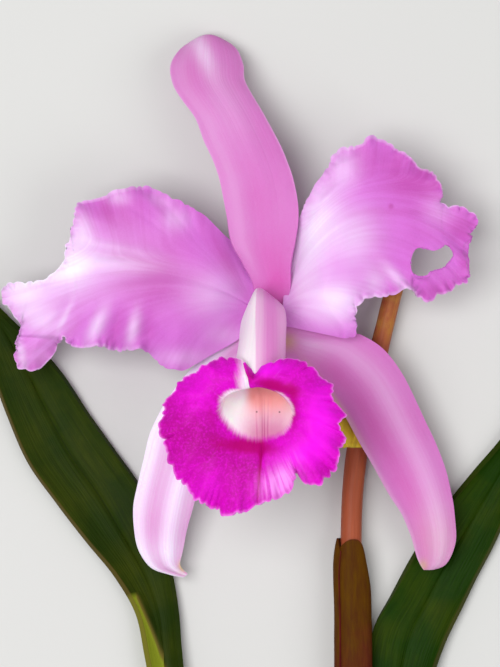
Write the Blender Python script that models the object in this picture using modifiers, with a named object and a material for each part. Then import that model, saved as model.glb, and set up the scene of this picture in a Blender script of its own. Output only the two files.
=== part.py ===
"""A cattleya bloom picked with its stem, sheath, two leaves and pseudobulb top, lying on its back."""

import math

import bmesh
import bpy
from mathutils import Vector

# Sizes and places are in millimetres. Heights are above the surface that the part lies on,
# and other places are measured from the middle of the bloom.
MM = 0.001
BLOOM_AT = Vector((3.1, 42.9, 0.0))
GAP = 0.3

PETAL_THICKNESS = 0.7
SEPAL_THICKNESS = 1.0
LIP_THICKNESS = 0.8
LEAF_THICKNESS = 2.2
SHEATH_THICKNESS = 0.7

HUB_RADIUS = 4.5
HUB_TOP = 23.4

# A rib runs across a blade: one end, the other end, then the heights of the first end, the middle and
# the other end. The ribs follow each other from the blade's base to its tip.
PETAL_LEFT_RIBS = (
    ((-4.8, -2.8), (-4.8, 3.2), (22.3, 22.4, 22.3)),
    ((-9.4, -6.7), (-5.0, 10.6), (22.6, 23.4, 20.6)),
    ((-14.5, -9.8), (-7.4, 17.3), (23.0, 25.2, 19.6)),
    ((-19.5, -12.5), (-11.3, 24.3), (23.6, 26.8, 20.4)),
    ((-24.0, -15.2), (-15.5, 28.5), (24.2, 28.0, 22.6)),
    ((-28.0, -17.2), (-19.5, 32.5), (24.6, 28.8, 24.2)),
    ((-32.0, -17.2), (-24.0, 36.0), (25.4, 29.2, 25.4)),
    ((-35.8, -15.8), (-28.5, 38.6), (24.0, 29.4, 27.0)),
    ((-39.8, -11.8), (-34.0, 41.2), (23.0, 29.4, 26.4)),
    ((-44.0, -10.6), (-39.8, 44.2), (27.4, 29.2, 24.4)),
    ((-49.0, -11.1), (-45.5, 43.8), (23.2, 28.8, 27.2)),
    ((-53.5, -10.1), (-51.0, 42.8), (22.4, 28.2, 27.8)),
    ((-58.0, -9.4), (-56.5, 40.5), (27.6, 27.4, 24.8)),
    ((-62.5, -10.0), (-62.5, 39.5), (23.8, 26.6, 24.0)),
    ((-66.7, -9.1), (-65.0, 35.5), (21.6, 25.8, 26.4)),
    ((-69.8, -6.4), (-66.5, 31.8), (24.6, 25.0, 25.6)),
    ((-72.0, -12.4), (-65.4, 28.2), (17.4, 24.2, 22.8)),
    ((-77.0, -16.8), (-67.8, 24.5), (15.4, 23.4, 23.4)),
    ((-82.5, -17.3), (-68.8, 19.5), (16.6, 22.6, 24.6)),
    ((-85.4, -15.0), (-72.0, 15.5), (19.4, 22.0, 23.6)),
    ((-85.0, -9.0), (-77.0, 12.7), (21.2, 21.6, 21.4)),
    ((-83.4, -3.5), (-82.0, 11.9), (20.0, 21.0, 21.8)),
    ((-86.0, 2.0), (-87.0, 12.1), (19.4, 20.2, 20.6)),
    ((-89.5, 5.0), (-89.8, 9.0), (19.2, 19.4, 19.4)),
)
PETAL_RIGHT_RIBS = (
    ((4.8, -2.6), (4.8, 3.4), (22.3, 22.4, 22.3)),
    ((8.5, -3.2), (6.0, 10.6), (22.6, 23.4, 20.6)),
    ((12.5, -4.0), (7.2, 18.2), (23.0, 25.6, 19.6)),
    ((17.5, -5.0), (8.8, 25.5), (23.6, 27.6, 20.4)),
    ((21.5, -5.8), (10.4, 32.5), (24.4, 29.2, 22.2)),
    ((25.5, -6.6), (12.4, 38.0), (25.6, 30.2, 24.6)),
    ((28.8, -6.0), (15.5, 44.0), (26.4, 30.6, 26.6)),
    ((29.7, -3.0), (19.0, 49.0), (26.6, 30.8, 27.8)),
    ((29.3, 0.5), (21.8, 54.5), (27.4, 30.8, 27.0)),
    ((30.2, 4.0), (25.0, 57.0), (28.0, 30.6, 25.8)),
    ((33.0, 6.4), (29.7, 57.8), (26.6, 30.2, 27.8)),
    ((37.7, 7.1), (33.5, 60.6), (23.6, 29.6, 28.6)),
    ((41.5, 7.9), (38.0, 59.8), (22.6, 28.8, 25.8)),
    ((45.0, 9.3), (42.5, 57.5), (24.6, 28.2, 26.6)),
    ((47.6, 10.1), (47.0, 54.5), (27.0, 27.8, 27.8)),
    ((50.5, 7.3), (51.0, 51.0), (20.6, 27.2, 25.4)),
    ((54.6, 5.4), (55.4, 48.0), (19.0, 26.6, 25.6)),
    ((57.0, 7.9), (58.0, 44.5), (19.8, 26.0, 27.4)),
    ((60.5, 8.6), (58.2, 39.5), (21.8, 25.4, 25.4)),
    ((63.5, 10.6), (61.0, 37.2), (20.6, 24.6, 23.4)),
    ((67.0, 12.2), (64.7, 38.0), (20.0, 23.8, 25.0)),
    ((67.2, 15.5), (67.5, 36.2), (22.0, 23.2, 24.6)),
    ((66.0, 20.5), (70.0, 34.6), (21.4, 22.4, 22.4)),
    ((66.0, 24.5), (70.7, 32.5), (20.6, 21.6, 22.4)),
    ((68.3, 27.8), (70.0, 30.0), (21.4, 21.4, 21.6)),
)
DORSAL_SEPAL_RIBS = (
    ((-3.4, 4.9), (3.2, 4.9), (20.6, 20.5, 20.6)),
    ((-4.6, 12.0), (5.6, 11.0), (22.2, 20.9, 22.2)),
    ((-8.6, 18.5), (7.6, 18.5), (24.0, 22.2, 24.0)),
    ((-12.3, 25.5), (9.3, 26.5), (25.2, 23.6, 25.2)),
    ((-14.0, 34.0), (10.2, 35.0), (25.6, 24.8, 25.6)),
    ((-15.7, 44.0), (9.0, 44.5), (25.0, 25.4, 25.0)),
    ((-18.3, 52.5), (6.2, 53.0), (23.4, 25.2, 23.6)),
    ((-21.6, 60.0), (2.6, 61.0), (21.6, 24.2, 22.0)),
    ((-24.5, 67.5), (-1.6, 68.5), (19.6, 22.8, 20.2)),
    ((-28.5, 73.5), (-5.3, 75.0), (17.4, 20.8, 17.8)),
    ((-32.0, 79.0), (-8.2, 81.0), (14.6, 18.2, 14.8)),
    ((-33.0, 85.5), (-8.6, 86.0), (11.4, 15.0, 11.4)),
    ((-30.5, 90.5), (-10.6, 91.0), (8.0, 11.2, 8.0)),
    ((-26.5, 94.0), (-14.0, 94.2), (4.8, 7.0, 4.8)),
    ((-23.5, 94.2), (-16.5, 94.4), (2.4, 3.0, 2.4)),
    ((-21.4, 91.6), (-17.6, 91.7), (0.3, 0.3, 0.3)),
)
SEPAL_LEFT_RIBS = (
    ((-4.9, -2.4), (-0.7, -5.4), (20.5, 20.5, 20.5)),
    ((-10.5, -5.5), (-3.0, -11.0), (19.8, 20.4, 19.6)),
    ((-17.5, -10.0), (-6.6, -16.5), (19.0, 20.4, 18.6)),
    ((-24.0, -15.5), (-10.5, -23.0), (18.2, 20.2, 17.6)),
    ((-30.0, -22.0), (-14.5, -30.0), (17.4, 19.8, 16.8)),
    ((-35.0, -29.5), (-18.0, -38.0), (16.8, 19.4, 16.0)),
    ((-39.5, -38.0), (-20.5, -46.0), (16.2, 18.8, 15.4)),
    ((-42.0, -48.0), (-22.9, -54.0), (15.4, 18.0, 14.6)),
    ((-44.2, -57.0), (-25.0, -61.5), (14.6, 17.2, 13.8)),
    ((-45.5, -66.0), (-26.8, -68.5), (13.4, 16.0, 12.6)),
    ((-45.0, -74.0), (-28.4, -74.5), (12.0, 14.4, 11.4)),
    ((-43.2, -80.0), (-29.5, -79.5), (10.4, 12.6, 10.2)),
    ((-39.5, -84.8), (-30.0, -83.5), (8.8, 10.4, 9.0)),
    ((-33.8, -87.0), (-28.8, -85.8), (7.8, 8.6, 8.0)),
    ((-28.8, -88.2), (-27.5, -87.2), (7.4, 7.5, 7.4)),
)
SEPAL_RIGHT_RIBS = (
    ((1.1, -5.4), (5.1, -2.0), (20.5, 20.5, 20.5)),
    ((4.6, -12.0), (10.5, -3.6), (19.6, 20.2, 20.2)),
    ((9.8, -14.6), (17.0, -4.8), (18.6, 20.0, 19.8)),
    ((13.5, -17.2), (24.0, -5.0), (17.8, 19.8, 19.2)),
    ((17.0, -21.5), (31.0, -5.6), (17.0, 19.6, 18.4)),
    ((21.0, -26.5), (38.0, -10.0), (16.4, 19.4, 17.4)),
    ((25.3, -32.0), (43.5, -16.0), (15.8, 19.0, 16.6)),
    ((29.5, -39.0), (48.0, -24.0), (15.2, 18.4, 15.8)),
    ((33.5, -46.0), (52.2, -33.0), (14.6, 17.8, 15.0)),
    ((37.5, -53.0), (56.5, -42.0), (13.8, 17.0, 14.2)),
    ((41.5, -60.0), (60.0, -51.0), (13.0, 16.0, 13.2)),
    ((45.5, -66.5), (62.4, -61.0), (12.2, 14.8, 12.2)),
    ((48.5, -73.0), (63.6, -71.0), (11.0, 13.4, 10.8)),
    ((50.3, -79.0), (63.0, -78.5), (9.8, 11.6, 9.4)),
    ((51.8, -83.2), (60.5, -83.6), (8.8, 9.8, 8.4)),
    ((53.2, -85.6), (56.2, -85.4), (8.2, 8.4, 8.2)),
)
LEAF_LEFT_RIBS = (
    ((19.7, -163.5), (19.7, -152.6), (11.8, 8.6, 11.8)),
    ((9.0, -165.6), (10.0, -153.6), (12.0, 7.8, 11.8)),
    ((-5.0, -163.5), (-2.0, -151.0), (11.0, 6.8, 10.8)),
    ((-19.0, -156.0), (-13.0, -144.5), (9.6, 5.6, 9.4)),
    ((-31.5, -143.0), (-22.5, -135.0), (8.2, 4.4, 8.0)),
    ((-38.5, -129.0), (-28.5, -124.5), (7.0, 3.2, 6.8)),
    ((-41.2, -116.0), (-30.2, -113.0), (6.0, 2.4, 5.8)),
    ((-44.5, -101.0), (-31.2, -100.0), (5.2, 1.6, 4.8)),
    ((-52.0, -88.0), (-33.5, -86.0), (4.6, 0.9, 3.9)),
    ((-62.0, -76.0), (-37.5, -72.5), (4.2, 0.8, 3.6)),
    ((-72.5, -62.5), (-43.8, -58.0), (4.0, 0.8, 3.6)),
    ((-82.0, -49.0), (-52.5, -45.5), (4.0, 0.8, 3.6)),
    ((-89.0, -33.0), (-61.5, -33.0), (4.2, 1.1, 4.0)),
    ((-94.5, -17.5), (-70.0, -20.0), (4.8, 2.2, 4.6)),
    ((-99.0, -3.0), (-79.0, -9.5), (5.6, 3.8, 5.4)),
    ((-102.5, 8.0), (-88.5, -0.5), (6.8, 5.6, 6.6)),
    ((-104.6, 14.5), (-97.0, 8.0), (7.8, 7.2, 7.8)),
    ((-105.0, 17.6), (-103.4, 16.2), (8.4, 8.2, 8.4)),
)
LEAF_RIGHT_RIBS = (
    ((38.3, -163.5), (38.3, -152.6), (11.8, 8.6, 11.8)),
    ((46.5, -155.0), (39.8, -147.0), (11.0, 6.6, 10.4)),
    ((49.8, -145.0), (38.6, -139.0), (9.4, 4.6, 5.4)),
    ((53.0, -133.5), (35.8, -129.0), (7.8, 3.0, 2.4)),
    ((56.6, -120.5), (34.6, -118.0), (6.2, 2.0, 1.3)),
    ((60.8, -109.5), (36.4, -106.0), (5.2, 1.4, 1.3)),
    ((66.0, -99.0), (42.4, -95.0), (4.6, 0.9, 2.6)),
    ((71.2, -88.5), (49.5, -82.0), (4.2, 0.8, 3.8)),
    ((76.5, -78.5), (56.5, -71.0), (4.0, 0.8, 3.6)),
    ((81.5, -67.5), (64.0, -61.0), (4.0, 0.8, 3.6)),
    ((86.5, -56.0), (71.5, -52.0), (3.8, 0.8, 3.6)),
    ((91.0, -44.5), (78.5, -44.0), (3.8, 1.2, 3.6)),
    ((94.5, -33.0), (85.0, -35.5), (4.0, 2.0, 3.8)),
    ((97.0, -23.0), (90.5, -26.0), (4.6, 3.2, 4.4)),
    ((98.4, -13.5), (94.8, -15.0), (5.6, 4.8, 5.4)),
    ((98.5, -5.0), (97.4, -5.4), (6.6, 6.5, 6.6)),
)
BITE_OUTLINE = (
    (49.5, 23.3), (52.9, 23.3), (55.3, 22.6), (57.3, 23.3), (60.0, 24.6), (62.0, 22.9),
    (62.3, 20.9), (61.0, 18.9), (59.0, 16.9), (57.0, 16.2), (54.6, 15.5), (53.6, 14.2),
    (51.2, 13.8), (49.2, 14.5), (47.9, 16.9), (48.0, 20.6),
)

# The rings of the lip's tube, from its foot to its throat: middle, half width, half depth, tilt in degrees,
# and how strongly the ring is pinched to a ridge at the seam.
LIP_RINGS = (
    ((-1.3, 2.6, 24.3), 4.9, 4.6, 0.0, 0.3),
    ((-1.5, 2.6, 29.0), 6.0, 6.2, 8.0, 0.5),
    ((-1.7, -0.2, 36.0), 7.3, 7.3, 25.0, 0.5),
    ((-2.2, -7.6, 43.0), 7.6, 7.8, 40.0, 0.35),
    ((-3.1, -16.0, 49.5), 8.3, 8.4, 45.0, 0.2),
    ((-4.2, -24.8, 54.5), 10.2, 9.2, 40.0, 0.05),
    ((-4.8, -31.2, 57.6), 12.3, 9.6, 22.0, 0.0),
)
# The seam's place is counted from the top of the tube by the left, in degrees.
LIP_SEAM = 15.0
LIP_OVERLAP = 8.0
LIP_ROLL = 0.65
LIP_RIDGE_HEIGHT = 2.4
LIP_NOTCH_DEPTH = 0.7
# Between the throat and the margin the blade arches up: share of the way, rise.
LIP_ARCH = ((0.34, 2.6), (0.68, 2.0))
LIP_MARGIN = (
    (-8.6, -15.2, 60.0), (-12.0, -13.7, 59.0), (-18.0, -14.3, 58.0), (-22.6, -16.6, 57.0),
    (-27.0, -20.2, 56.4), (-31.5, -23.5, 55.6), (-34.4, -28.5, 55.0), (-36.4, -35.5, 54.6),
    (-35.2, -41.5, 54.6), (-33.4, -47.5, 54.8), (-31.0, -53.5, 55.2), (-27.0, -58.0, 55.6),
    (-23.4, -61.4, 55.8), (-19.0, -64.0, 55.6), (-14.8, -66.6, 55.0), (-9.0, -65.4, 54.6),
    (-4.0, -63.4, 55.6), (0.6, -61.6, 55.0), (5.8, -59.6, 54.4), (10.0, -56.2, 54.8),
    (9.0, -52.4, 57.4), (13.4, -56.4, 55.0), (18.6, -54.6, 55.6), (22.6, -51.4, 54.8),
    (24.0, -46.4, 55.6), (26.0, -41.4, 54.8), (24.0, -36.4, 56.4), (25.6, -32.8, 55.2),
    (22.2, -27.6, 56.8), (21.6, -24.0, 56.0), (17.6, -19.6, 57.6), (12.8, -15.4, 58.0),
    (7.6, -13.8, 59.0), (2.4, -14.8, 59.4), (-2.0, -15.8, 60.2), (-5.2, -17.8, 61.2),
)
# The lip stands nearer the eye than the petals, so its margin is smaller than it looks by this share.
LIP_NEARNESS = 0.97
VIEW_MIDDLE = Vector((-6.1, -5.2, 0.0))
LIP_FRILLS = 15
LIP_FRILL_HEIGHT = 1.5
LIP_FRILL_START = 0.76

# The column follows the lip's upper wall, up to this share of the tube.
COLUMN_REACH = 0.725
COLUMN_STEPS = 5
COLUMN_LIFT = 1.6
COLUMN_FOOT = Vector((-1.3, 2.2, HUB_TOP + GAP))
COLUMN_START = Vector((0.0, 0.0, 2.0))
COLUMN_FOOT_RADIUS = 3.1
COLUMN_RADIUS = 3.4
COLUMN_GROWTH = 0.8
COLUMN_TILT_RATE = 62.0
COLUMN_TILT = 45.0
# The anther cap: place along the column's line past its end, radius.
ANTHER_CAP = ((0.0, 3.0), (1.0, 3.3), (2.2, 2.8), (3.0, 1.4))
OVARY_PATH = (
    ((0.0, 0.0, HUB_TOP), HUB_RADIUS - 0.7),
    ((0.0, 0.0, 22.9), HUB_RADIUS),
    ((0.0, 0.0, 19.2), HUB_RADIUS - 0.2),
    ((0.6, -2.0, 16.4), 3.6),
    ((3.4, -7.4, 13.8), 3.1),
    ((8.4, -13.6, 12.2), 2.7),
    ((14.6, -19.4, 10.6), 2.4),
    ((20.0, -26.4, 9.2), 2.3),
    ((23.6, -33.4, 8.2), 2.7),
    ((25.6, -38.6, 7.4), 3.0),
)
PEDUNCLE_PATH = (
    ((44.4, 14.5, 6.2), 2.7),
    ((41.6, 4.0, 6.2), 2.8),
    ((38.2, -10.0, 6.0), 2.9),
    ((34.8, -26.0, 5.8), 3.0),
    ((31.6, -40.0, 6.6), 3.3),
    ((30.1, -48.0, 6.8), 3.4),
    ((28.8, -62.0, 7.0), 3.3),
    ((28.4, -80.0, 7.2), 3.3),
    ((28.9, -105.0, 7.3), 3.3),
    ((29.0, -130.0, 7.4), 3.3),
    ((29.0, -151.7, 7.6), 3.3),
)
SHEATH_TIP_Y = -75.2
SHEATH_FOOT_Y = -151.7
SHEATH_HALF_WIDTH = 6.0
SHEATH_HALF_HEIGHT = 4.4
# The sheath is rolled once round and a little more, from this turn on, in degrees. Its rim is cut slanting.
SHEATH_START = 200.0
SHEATH_ROLL = 384.0
SHEATH_STEP = 0.6
SHEATH_RIM_SLANT = 3.4
SHEATH_RIM_LOW = 210.0
SHEATH_ASIDE = 0.3
# Towards its rim the sheath closes on the stem, from this share of its length on.
SHEATH_CLOSING_FROM = 0.86
SHEATH_CLOSING = 0.28
SHEATH_FLATTENING = 0.1
PSEUDOBULB_PATH = (
    ((29.0, -152.0, 8.2), 7.4),
    ((29.0, -153.2, 8.2), 8.3),
    ((29.0, -158.0, 8.4), 8.9),
    ((29.2, -165.0, 8.9), 9.4),
    ((29.6, -173.0, 9.4), 9.9),
    ((30.0, -180.0, 9.8), 10.2),
)


def spline(points, share):
    """The place at this share (0 to 1) of a smooth curve through the points."""
    last = len(points) - 1
    place = min(max(share, 0.0), 1.0) * last
    i = min(int(place), last - 1)
    f = place - i
    before, start = points[max(i - 1, 0)], points[i]
    end, after = points[i + 1], points[min(i + 2, last)]
    bend = 2 * before - 5 * start + 4 * end - after
    turn = 3 * start - before - 3 * end + after
    return 0.5 * (2 * start + (end - before) * f + bend * f**2 + turn * f**3)


def make_material(name, hex_colour, roughness):
    material = bpy.data.materials.new(name)
    material.use_nodes = True
    shader = material.node_tree.nodes["Principled BSDF"]
    channels = [int(hex_colour[i : i + 2], 16) / 255 for i in (0, 2, 4)]
    linear = [c / 12.92 if c <= 0.04045 else ((c + 0.055) / 1.055) ** 2.4 for c in channels]
    shader.inputs["Base Color"].default_value = (*linear, 1.0)
    shader.inputs["Roughness"].default_value = roughness
    return material


def add_object(name, bm, material, collection):
    """Turns the bmesh into an object at the bloom's place, shaded smooth."""
    for vert in bm.verts:
        vert.co = (vert.co + BLOOM_AT) * MM
    mesh = bpy.data.meshes.new(name)
    bm.to_mesh(mesh)
    bm.free()
    mesh.materials.append(material)
    mesh.shade_smooth()
    obj = bpy.data.objects.new(name, mesh)
    collection.objects.link(obj)
    return obj


def apply_modifiers(obj):
    """Replaces the object's mesh by the one its modifiers make."""
    graph = bpy.context.evaluated_depsgraph_get()
    graph.update()
    finished = bpy.data.meshes.new_from_object(obj.evaluated_get(graph))
    obj.modifiers.clear()
    obj.data = finished


def make_sheet(name, rows, columns, place, thickness, material, collection):
    """A thin curved blade: a grid laid through place(share along, share across), then given its thickness."""
    bm = bmesh.new()
    bmesh.ops.create_grid(bm, x_segments=rows, y_segments=columns, size=0.5)
    for vert in bm.verts:
        vert.co = place(vert.co.x + 0.5, vert.co.y + 0.5)
    bmesh.ops.triangulate(bm, faces=bm.faces)
    obj = add_object(name, bm, material, collection)
    solidify = obj.modifiers.new("Thickness", "SOLIDIFY")
    solidify.thickness = thickness * MM
    solidify.offset = 0.0
    apply_modifiers(obj)
    return obj


def make_blade(name, ribs, rows, columns, thickness, material, collection):
    """A petal, sepal or leaf through its ribs. A margin's waves fade towards the middle of the blade."""
    firsts = [Vector((*rib[0], rib[2][0])) for rib in ribs]
    middles = [rib[2][1] for rib in ribs]
    others = [Vector((*rib[1], rib[2][2])) for rib in ribs]

    def place(along, across):
        first = spline(firsts, along)
        other = spline(others, along)
        middle = spline(middles, along)
        point = first.lerp(other, across)
        side = 2 * across - 1
        edge = other if side > 0 else first
        point.z = middle + (edge.z - middle) * side * side
        return point

    return make_sheet(name, rows, columns, place, thickness, material, collection)


def press_on_surface(obj):
    """Flattens what would reach below the surface, which gives the spots that the part rests on."""
    for vert in obj.data.vertices:
        vert.co.z = max(vert.co.z, 0.0)


def cut_bite(petal, collection):
    """The hole that something has eaten in the right petal."""
    curve = bpy.data.curves.new("bite_cutter", "CURVE")
    curve.dimensions = "2D"
    curve.fill_mode = "BOTH"
    curve.extrude = 20 * MM
    loop = curve.splines.new("POLY")
    loop.points.add(len(BITE_OUTLINE) - 1)
    for point, (x, y) in zip(loop.points, BITE_OUTLINE):
        point.co = (*((Vector((x, y, 0.0)) + BLOOM_AT) * MM).xy, 0.0, 1.0)
    loop.use_cyclic_u = True
    outline = bpy.data.objects.new("bite_outline", curve)
    outline.location.z = 25 * MM
    collection.objects.link(outline)
    cutter = mesh_from_curve("bite_cutter", outline, collection)
    cutter.hide_render = True
    cutter.display_type = "WIRE"
    cut = petal.modifiers.new("Bite", "BOOLEAN")
    cut.operation = "DIFFERENCE"
    cut.object = cutter
    apply_modifiers(petal)
    bpy.data.objects.remove(cutter)


def mesh_from_curve(name, curve_object, collection):
    """A mesh object of the curve, with its caps joined to its sides. The curve is removed."""
    graph = bpy.context.evaluated_depsgraph_get()
    graph.update()
    mesh = bpy.data.meshes.new_from_object(curve_object.evaluated_get(graph))
    obj = bpy.data.objects.new(name, mesh)
    obj.matrix_world = curve_object.matrix_world
    bpy.data.objects.remove(curve_object)
    bm = bmesh.new()
    bm.from_mesh(mesh)
    bmesh.ops.remove_doubles(bm, verts=bm.verts, dist=0.00001)
    bmesh.ops.recalc_face_normals(bm, faces=bm.faces)
    bm.to_mesh(mesh)
    bm.free()
    collection.objects.link(obj)
    return obj


def make_stalk(name, path, steps, roundness, material, collection):
    """A round stalk of changing thickness along a smooth path of (place, radius)."""
    places = [Vector(place) for place, _ in path]
    radii = [radius for _, radius in path]
    curve = bpy.data.curves.new(name, "CURVE")
    curve.dimensions = "3D"
    curve.bevel_depth = MM
    curve.bevel_resolution = roundness
    curve.use_fill_caps = True
    line = curve.splines.new("POLY")
    line.points.add(steps)
    for i, point in enumerate(line.points):
        share = i / steps
        point.co = (*((spline(places, share) + BLOOM_AT) * MM), 1.0)
        point.radius = spline(radii, share)
    guide = bpy.data.objects.new(name + "_curve", curve)
    collection.objects.link(guide)
    obj = mesh_from_curve(name, guide, collection)
    obj.data.materials.append(material)
    obj.data.shade_smooth()
    return obj


def ring_point(ring, turn, swell):
    """A place on one ring of the lip's tube. The turn is counted from its top by the left, in radians."""
    (x, y, z), half_width, half_depth, tilt, pinch = ring
    tilt = math.radians(tilt)
    seam = math.radians(LIP_SEAM)
    point = Vector((-math.sin(turn) * (half_width + swell), math.cos(turn) * (half_depth + swell)))
    ridge = Vector((-math.sin(seam), math.cos(seam)))
    near = max(0.0, math.cos(turn - seam))
    out = point.dot(ridge)
    aside = point - ridge * out
    point = ridge * (out + LIP_RIDGE_HEIGHT * pinch * near**3) + aside * (1.0 - pinch * near)
    return Vector((x + point.x, y + point.y * math.cos(tilt), z + point.y * math.sin(tilt)))


def lip_margin_point(across):
    """A place on the lip's margin, before it is frilled."""
    point = spline([Vector(point) for point in LIP_MARGIN], across)
    height = point.z
    point = VIEW_MIDDLE + (point - VIEW_MIDDLE) * LIP_NEARNESS
    point.z = height
    return point


def lip_place(along, across):
    """The lip: a rolled tube whose edges overlap on its top, opening into a broad frilled blade."""
    seam = math.radians(LIP_SEAM)
    overlap = math.radians(LIP_OVERLAP)
    turn = seam - overlap + (2 * math.pi + 2 * overlap) * across
    from_middle = abs(2 * across - 1)
    swell = LIP_ROLL * from_middle**6 * (1 if across < 0.5 else -1)
    places = [ring_point(ring, turn, swell) for ring in LIP_RINGS]
    throat = ring_point(LIP_RINGS[-1], seam + 2 * math.pi * across, 0.0)
    margin = lip_margin_point(across)
    places[-1] = places[-1].lerp(throat, LIP_NOTCH_DEPTH * from_middle**12)
    for share, rise in LIP_ARCH:
        point = throat.lerp(margin, share)
        point.z = throat.z + (margin.z - throat.z) * share**2 + rise
        places.append(point)
    places.append(margin)
    point = spline(places, along)
    frill = max(0.0, (along - LIP_FRILL_START) / (1.0 - LIP_FRILL_START)) ** 1.5
    point.z += LIP_FRILL_HEIGHT * frill * math.sin(2 * math.pi * LIP_FRILLS * across)
    return point


def sheath_place(along, across):
    """The sheath: a flattened roll round the peduncle, with its edges overlapping on the left."""
    turn = math.radians(SHEATH_START + SHEATH_ROLL * across)
    roll = SHEATH_STEP * (0.5 - across)
    low = 0.5 + 0.5 * math.cos(turn - math.radians(SHEATH_RIM_LOW))
    y = SHEATH_FOOT_Y + (SHEATH_TIP_Y - SHEATH_RIM_SLANT * low - SHEATH_FOOT_Y) * along
    middle = spline([Vector(place) for place, _ in PEDUNCLE_PATH], peduncle_share(y))
    rim = max(0.0, (along - SHEATH_CLOSING_FROM) / (1.0 - SHEATH_CLOSING_FROM))
    half_width = (SHEATH_HALF_WIDTH + roll) * (1.0 - SHEATH_CLOSING * rim**2)
    half_height = (SHEATH_HALF_HEIGHT + roll) * (1.0 - SHEATH_FLATTENING * rim)
    x = middle.x + SHEATH_ASIDE + math.cos(turn) * half_width
    return Vector((x, y, middle.z + math.sin(turn) * half_height))


def peduncle_share(y):
    """How far along the peduncle's path it passes this place."""
    last = len(PEDUNCLE_PATH) - 1
    for i in range(last):
        top, foot = PEDUNCLE_PATH[i][0][1], PEDUNCLE_PATH[i + 1][0][1]
        if foot <= y <= top:
            return (i + (top - y) / (top - foot)) / last
    return 1.0


def column_path():
    """The column stands on the hub and follows the upper wall of the lip's tube."""
    middles = [Vector(ring[0]) for ring in LIP_RINGS[:6]]
    path = [(COLUMN_FOOT, COLUMN_FOOT_RADIUS), (COLUMN_FOOT + COLUMN_START, COLUMN_FOOT_RADIUS + 0.1)]
    for step in range(1, COLUMN_STEPS + 1):
        share = COLUMN_REACH * step / COLUMN_STEPS
        tilt = math.radians(min(COLUMN_TILT, COLUMN_TILT_RATE * share))
        lift = COLUMN_LIFT * min(1.0, 3.0 * share)
        place = spline(middles, share) + Vector((0.0, math.cos(tilt), math.sin(tilt))) * lift
        path.append((place, COLUMN_RADIUS + COLUMN_GROWTH * share))
    return path


def build():
    for obj in list(bpy.data.objects):
        bpy.data.objects.remove(obj)
    bloom = bpy.data.collections.new("cattleya_orchid")
    bpy.context.scene.collection.children.link(bloom)

    petal = make_material("petal_tissue", "D98BE0", 0.45)
    sepal = make_material("sepal_tissue", "DE96E2", 0.45)
    lip = make_material("lip_tissue", "D414C8", 0.5)
    ivory = make_material("column_tissue", "F4E6EE", 0.4)
    stem = make_material("stem_skin", "9A5A2E", 0.5)
    papery = make_material("sheath_skin", "6E4A24", 0.6)
    leaf = make_material("leaf_skin", "33480F", 0.4)
    bulb = make_material("pseudobulb_skin", "5E7030", 0.5)

    make_blade("petal_left", PETAL_LEFT_RIBS, 42, 8, PETAL_THICKNESS, petal, bloom)
    right = make_blade("petal_right", PETAL_RIGHT_RIBS, 42, 8, PETAL_THICKNESS, petal, bloom)
    cut_bite(right, bloom)
    dorsal = make_blade("dorsal_sepal", DORSAL_SEPAL_RIBS, 26, 6, SEPAL_THICKNESS, sepal, bloom)
    press_on_surface(dorsal)
    make_blade("lateral_sepal_left", SEPAL_LEFT_RIBS, 24, 6, SEPAL_THICKNESS, sepal, bloom)
    make_blade("lateral_sepal_right", SEPAL_RIGHT_RIBS, 24, 6, SEPAL_THICKNESS, sepal, bloom)
    make_sheet("lip", 14, 72, lip_place, LIP_THICKNESS, lip, bloom)

    path = column_path()
    make_stalk("column", path, 8, 3, ivory, bloom)
    end, before = path[-1][0], path[-2][0]
    ahead = (end - before).normalized()
    cap = [(end + ahead * (GAP + step), radius) for step, radius in ANTHER_CAP]
    make_stalk("anther_cap", cap, 5, 3, ivory, bloom)

    make_stalk("ovary", OVARY_PATH, 22, 3, stem, bloom)
    make_stalk("peduncle", PEDUNCLE_PATH, 24, 3, stem, bloom)
    make_sheet("sheath", 10, 22, sheath_place, SHEATH_THICKNESS, papery, bloom)
    for name, ribs in (("leaf_left", LEAF_LEFT_RIBS), ("leaf_right", LEAF_RIGHT_RIBS)):
        blade = make_blade(name, ribs, 26, 6, LEAF_THICKNESS, leaf, bloom)
        press_on_surface(blade)
    pseudobulb = make_stalk("pseudobulb", PSEUDOBULB_PATH, 10, 5, bulb, bloom)
    press_on_surface(pseudobulb)


build()
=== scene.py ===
import math
from functools import lru_cache, partial

import bmesh
import bpy
import numpy
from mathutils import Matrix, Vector, noise


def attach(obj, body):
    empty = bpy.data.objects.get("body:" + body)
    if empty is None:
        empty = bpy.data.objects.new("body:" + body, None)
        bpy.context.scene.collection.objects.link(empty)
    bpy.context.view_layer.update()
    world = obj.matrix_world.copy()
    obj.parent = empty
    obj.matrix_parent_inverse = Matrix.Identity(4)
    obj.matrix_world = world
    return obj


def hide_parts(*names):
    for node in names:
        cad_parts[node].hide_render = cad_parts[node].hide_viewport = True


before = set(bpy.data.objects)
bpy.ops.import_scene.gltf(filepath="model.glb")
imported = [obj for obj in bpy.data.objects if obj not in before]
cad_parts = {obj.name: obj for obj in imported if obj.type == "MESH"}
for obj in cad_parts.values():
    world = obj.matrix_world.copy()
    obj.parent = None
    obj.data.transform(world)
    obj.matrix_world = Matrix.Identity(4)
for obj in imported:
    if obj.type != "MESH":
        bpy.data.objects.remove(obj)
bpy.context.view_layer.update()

bl_info = {
    "name": "Cattleya Bloom",
    "version": (1, 0, 0),
    "blender": (4, 5, 0),
    "location": "3D View > Sidebar > Bloom",
    "description": "Dresses the solids of a picked cattleya bloom with ruffled, veined and coloured tissue",
    "category": "Add Mesh",
}

# Sizes and places are in millimetres. Heights are above the surface that the bloom lies on,
# and other places are measured from the middle of the bloom, as in the solids.
MM = 0.001
BLOOM_AT = Vector((3.1, 42.9, 0.0))

# Places of a rolled piece's seam that lie nearer than this become one.
WELD = 0.01 * MM

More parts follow.
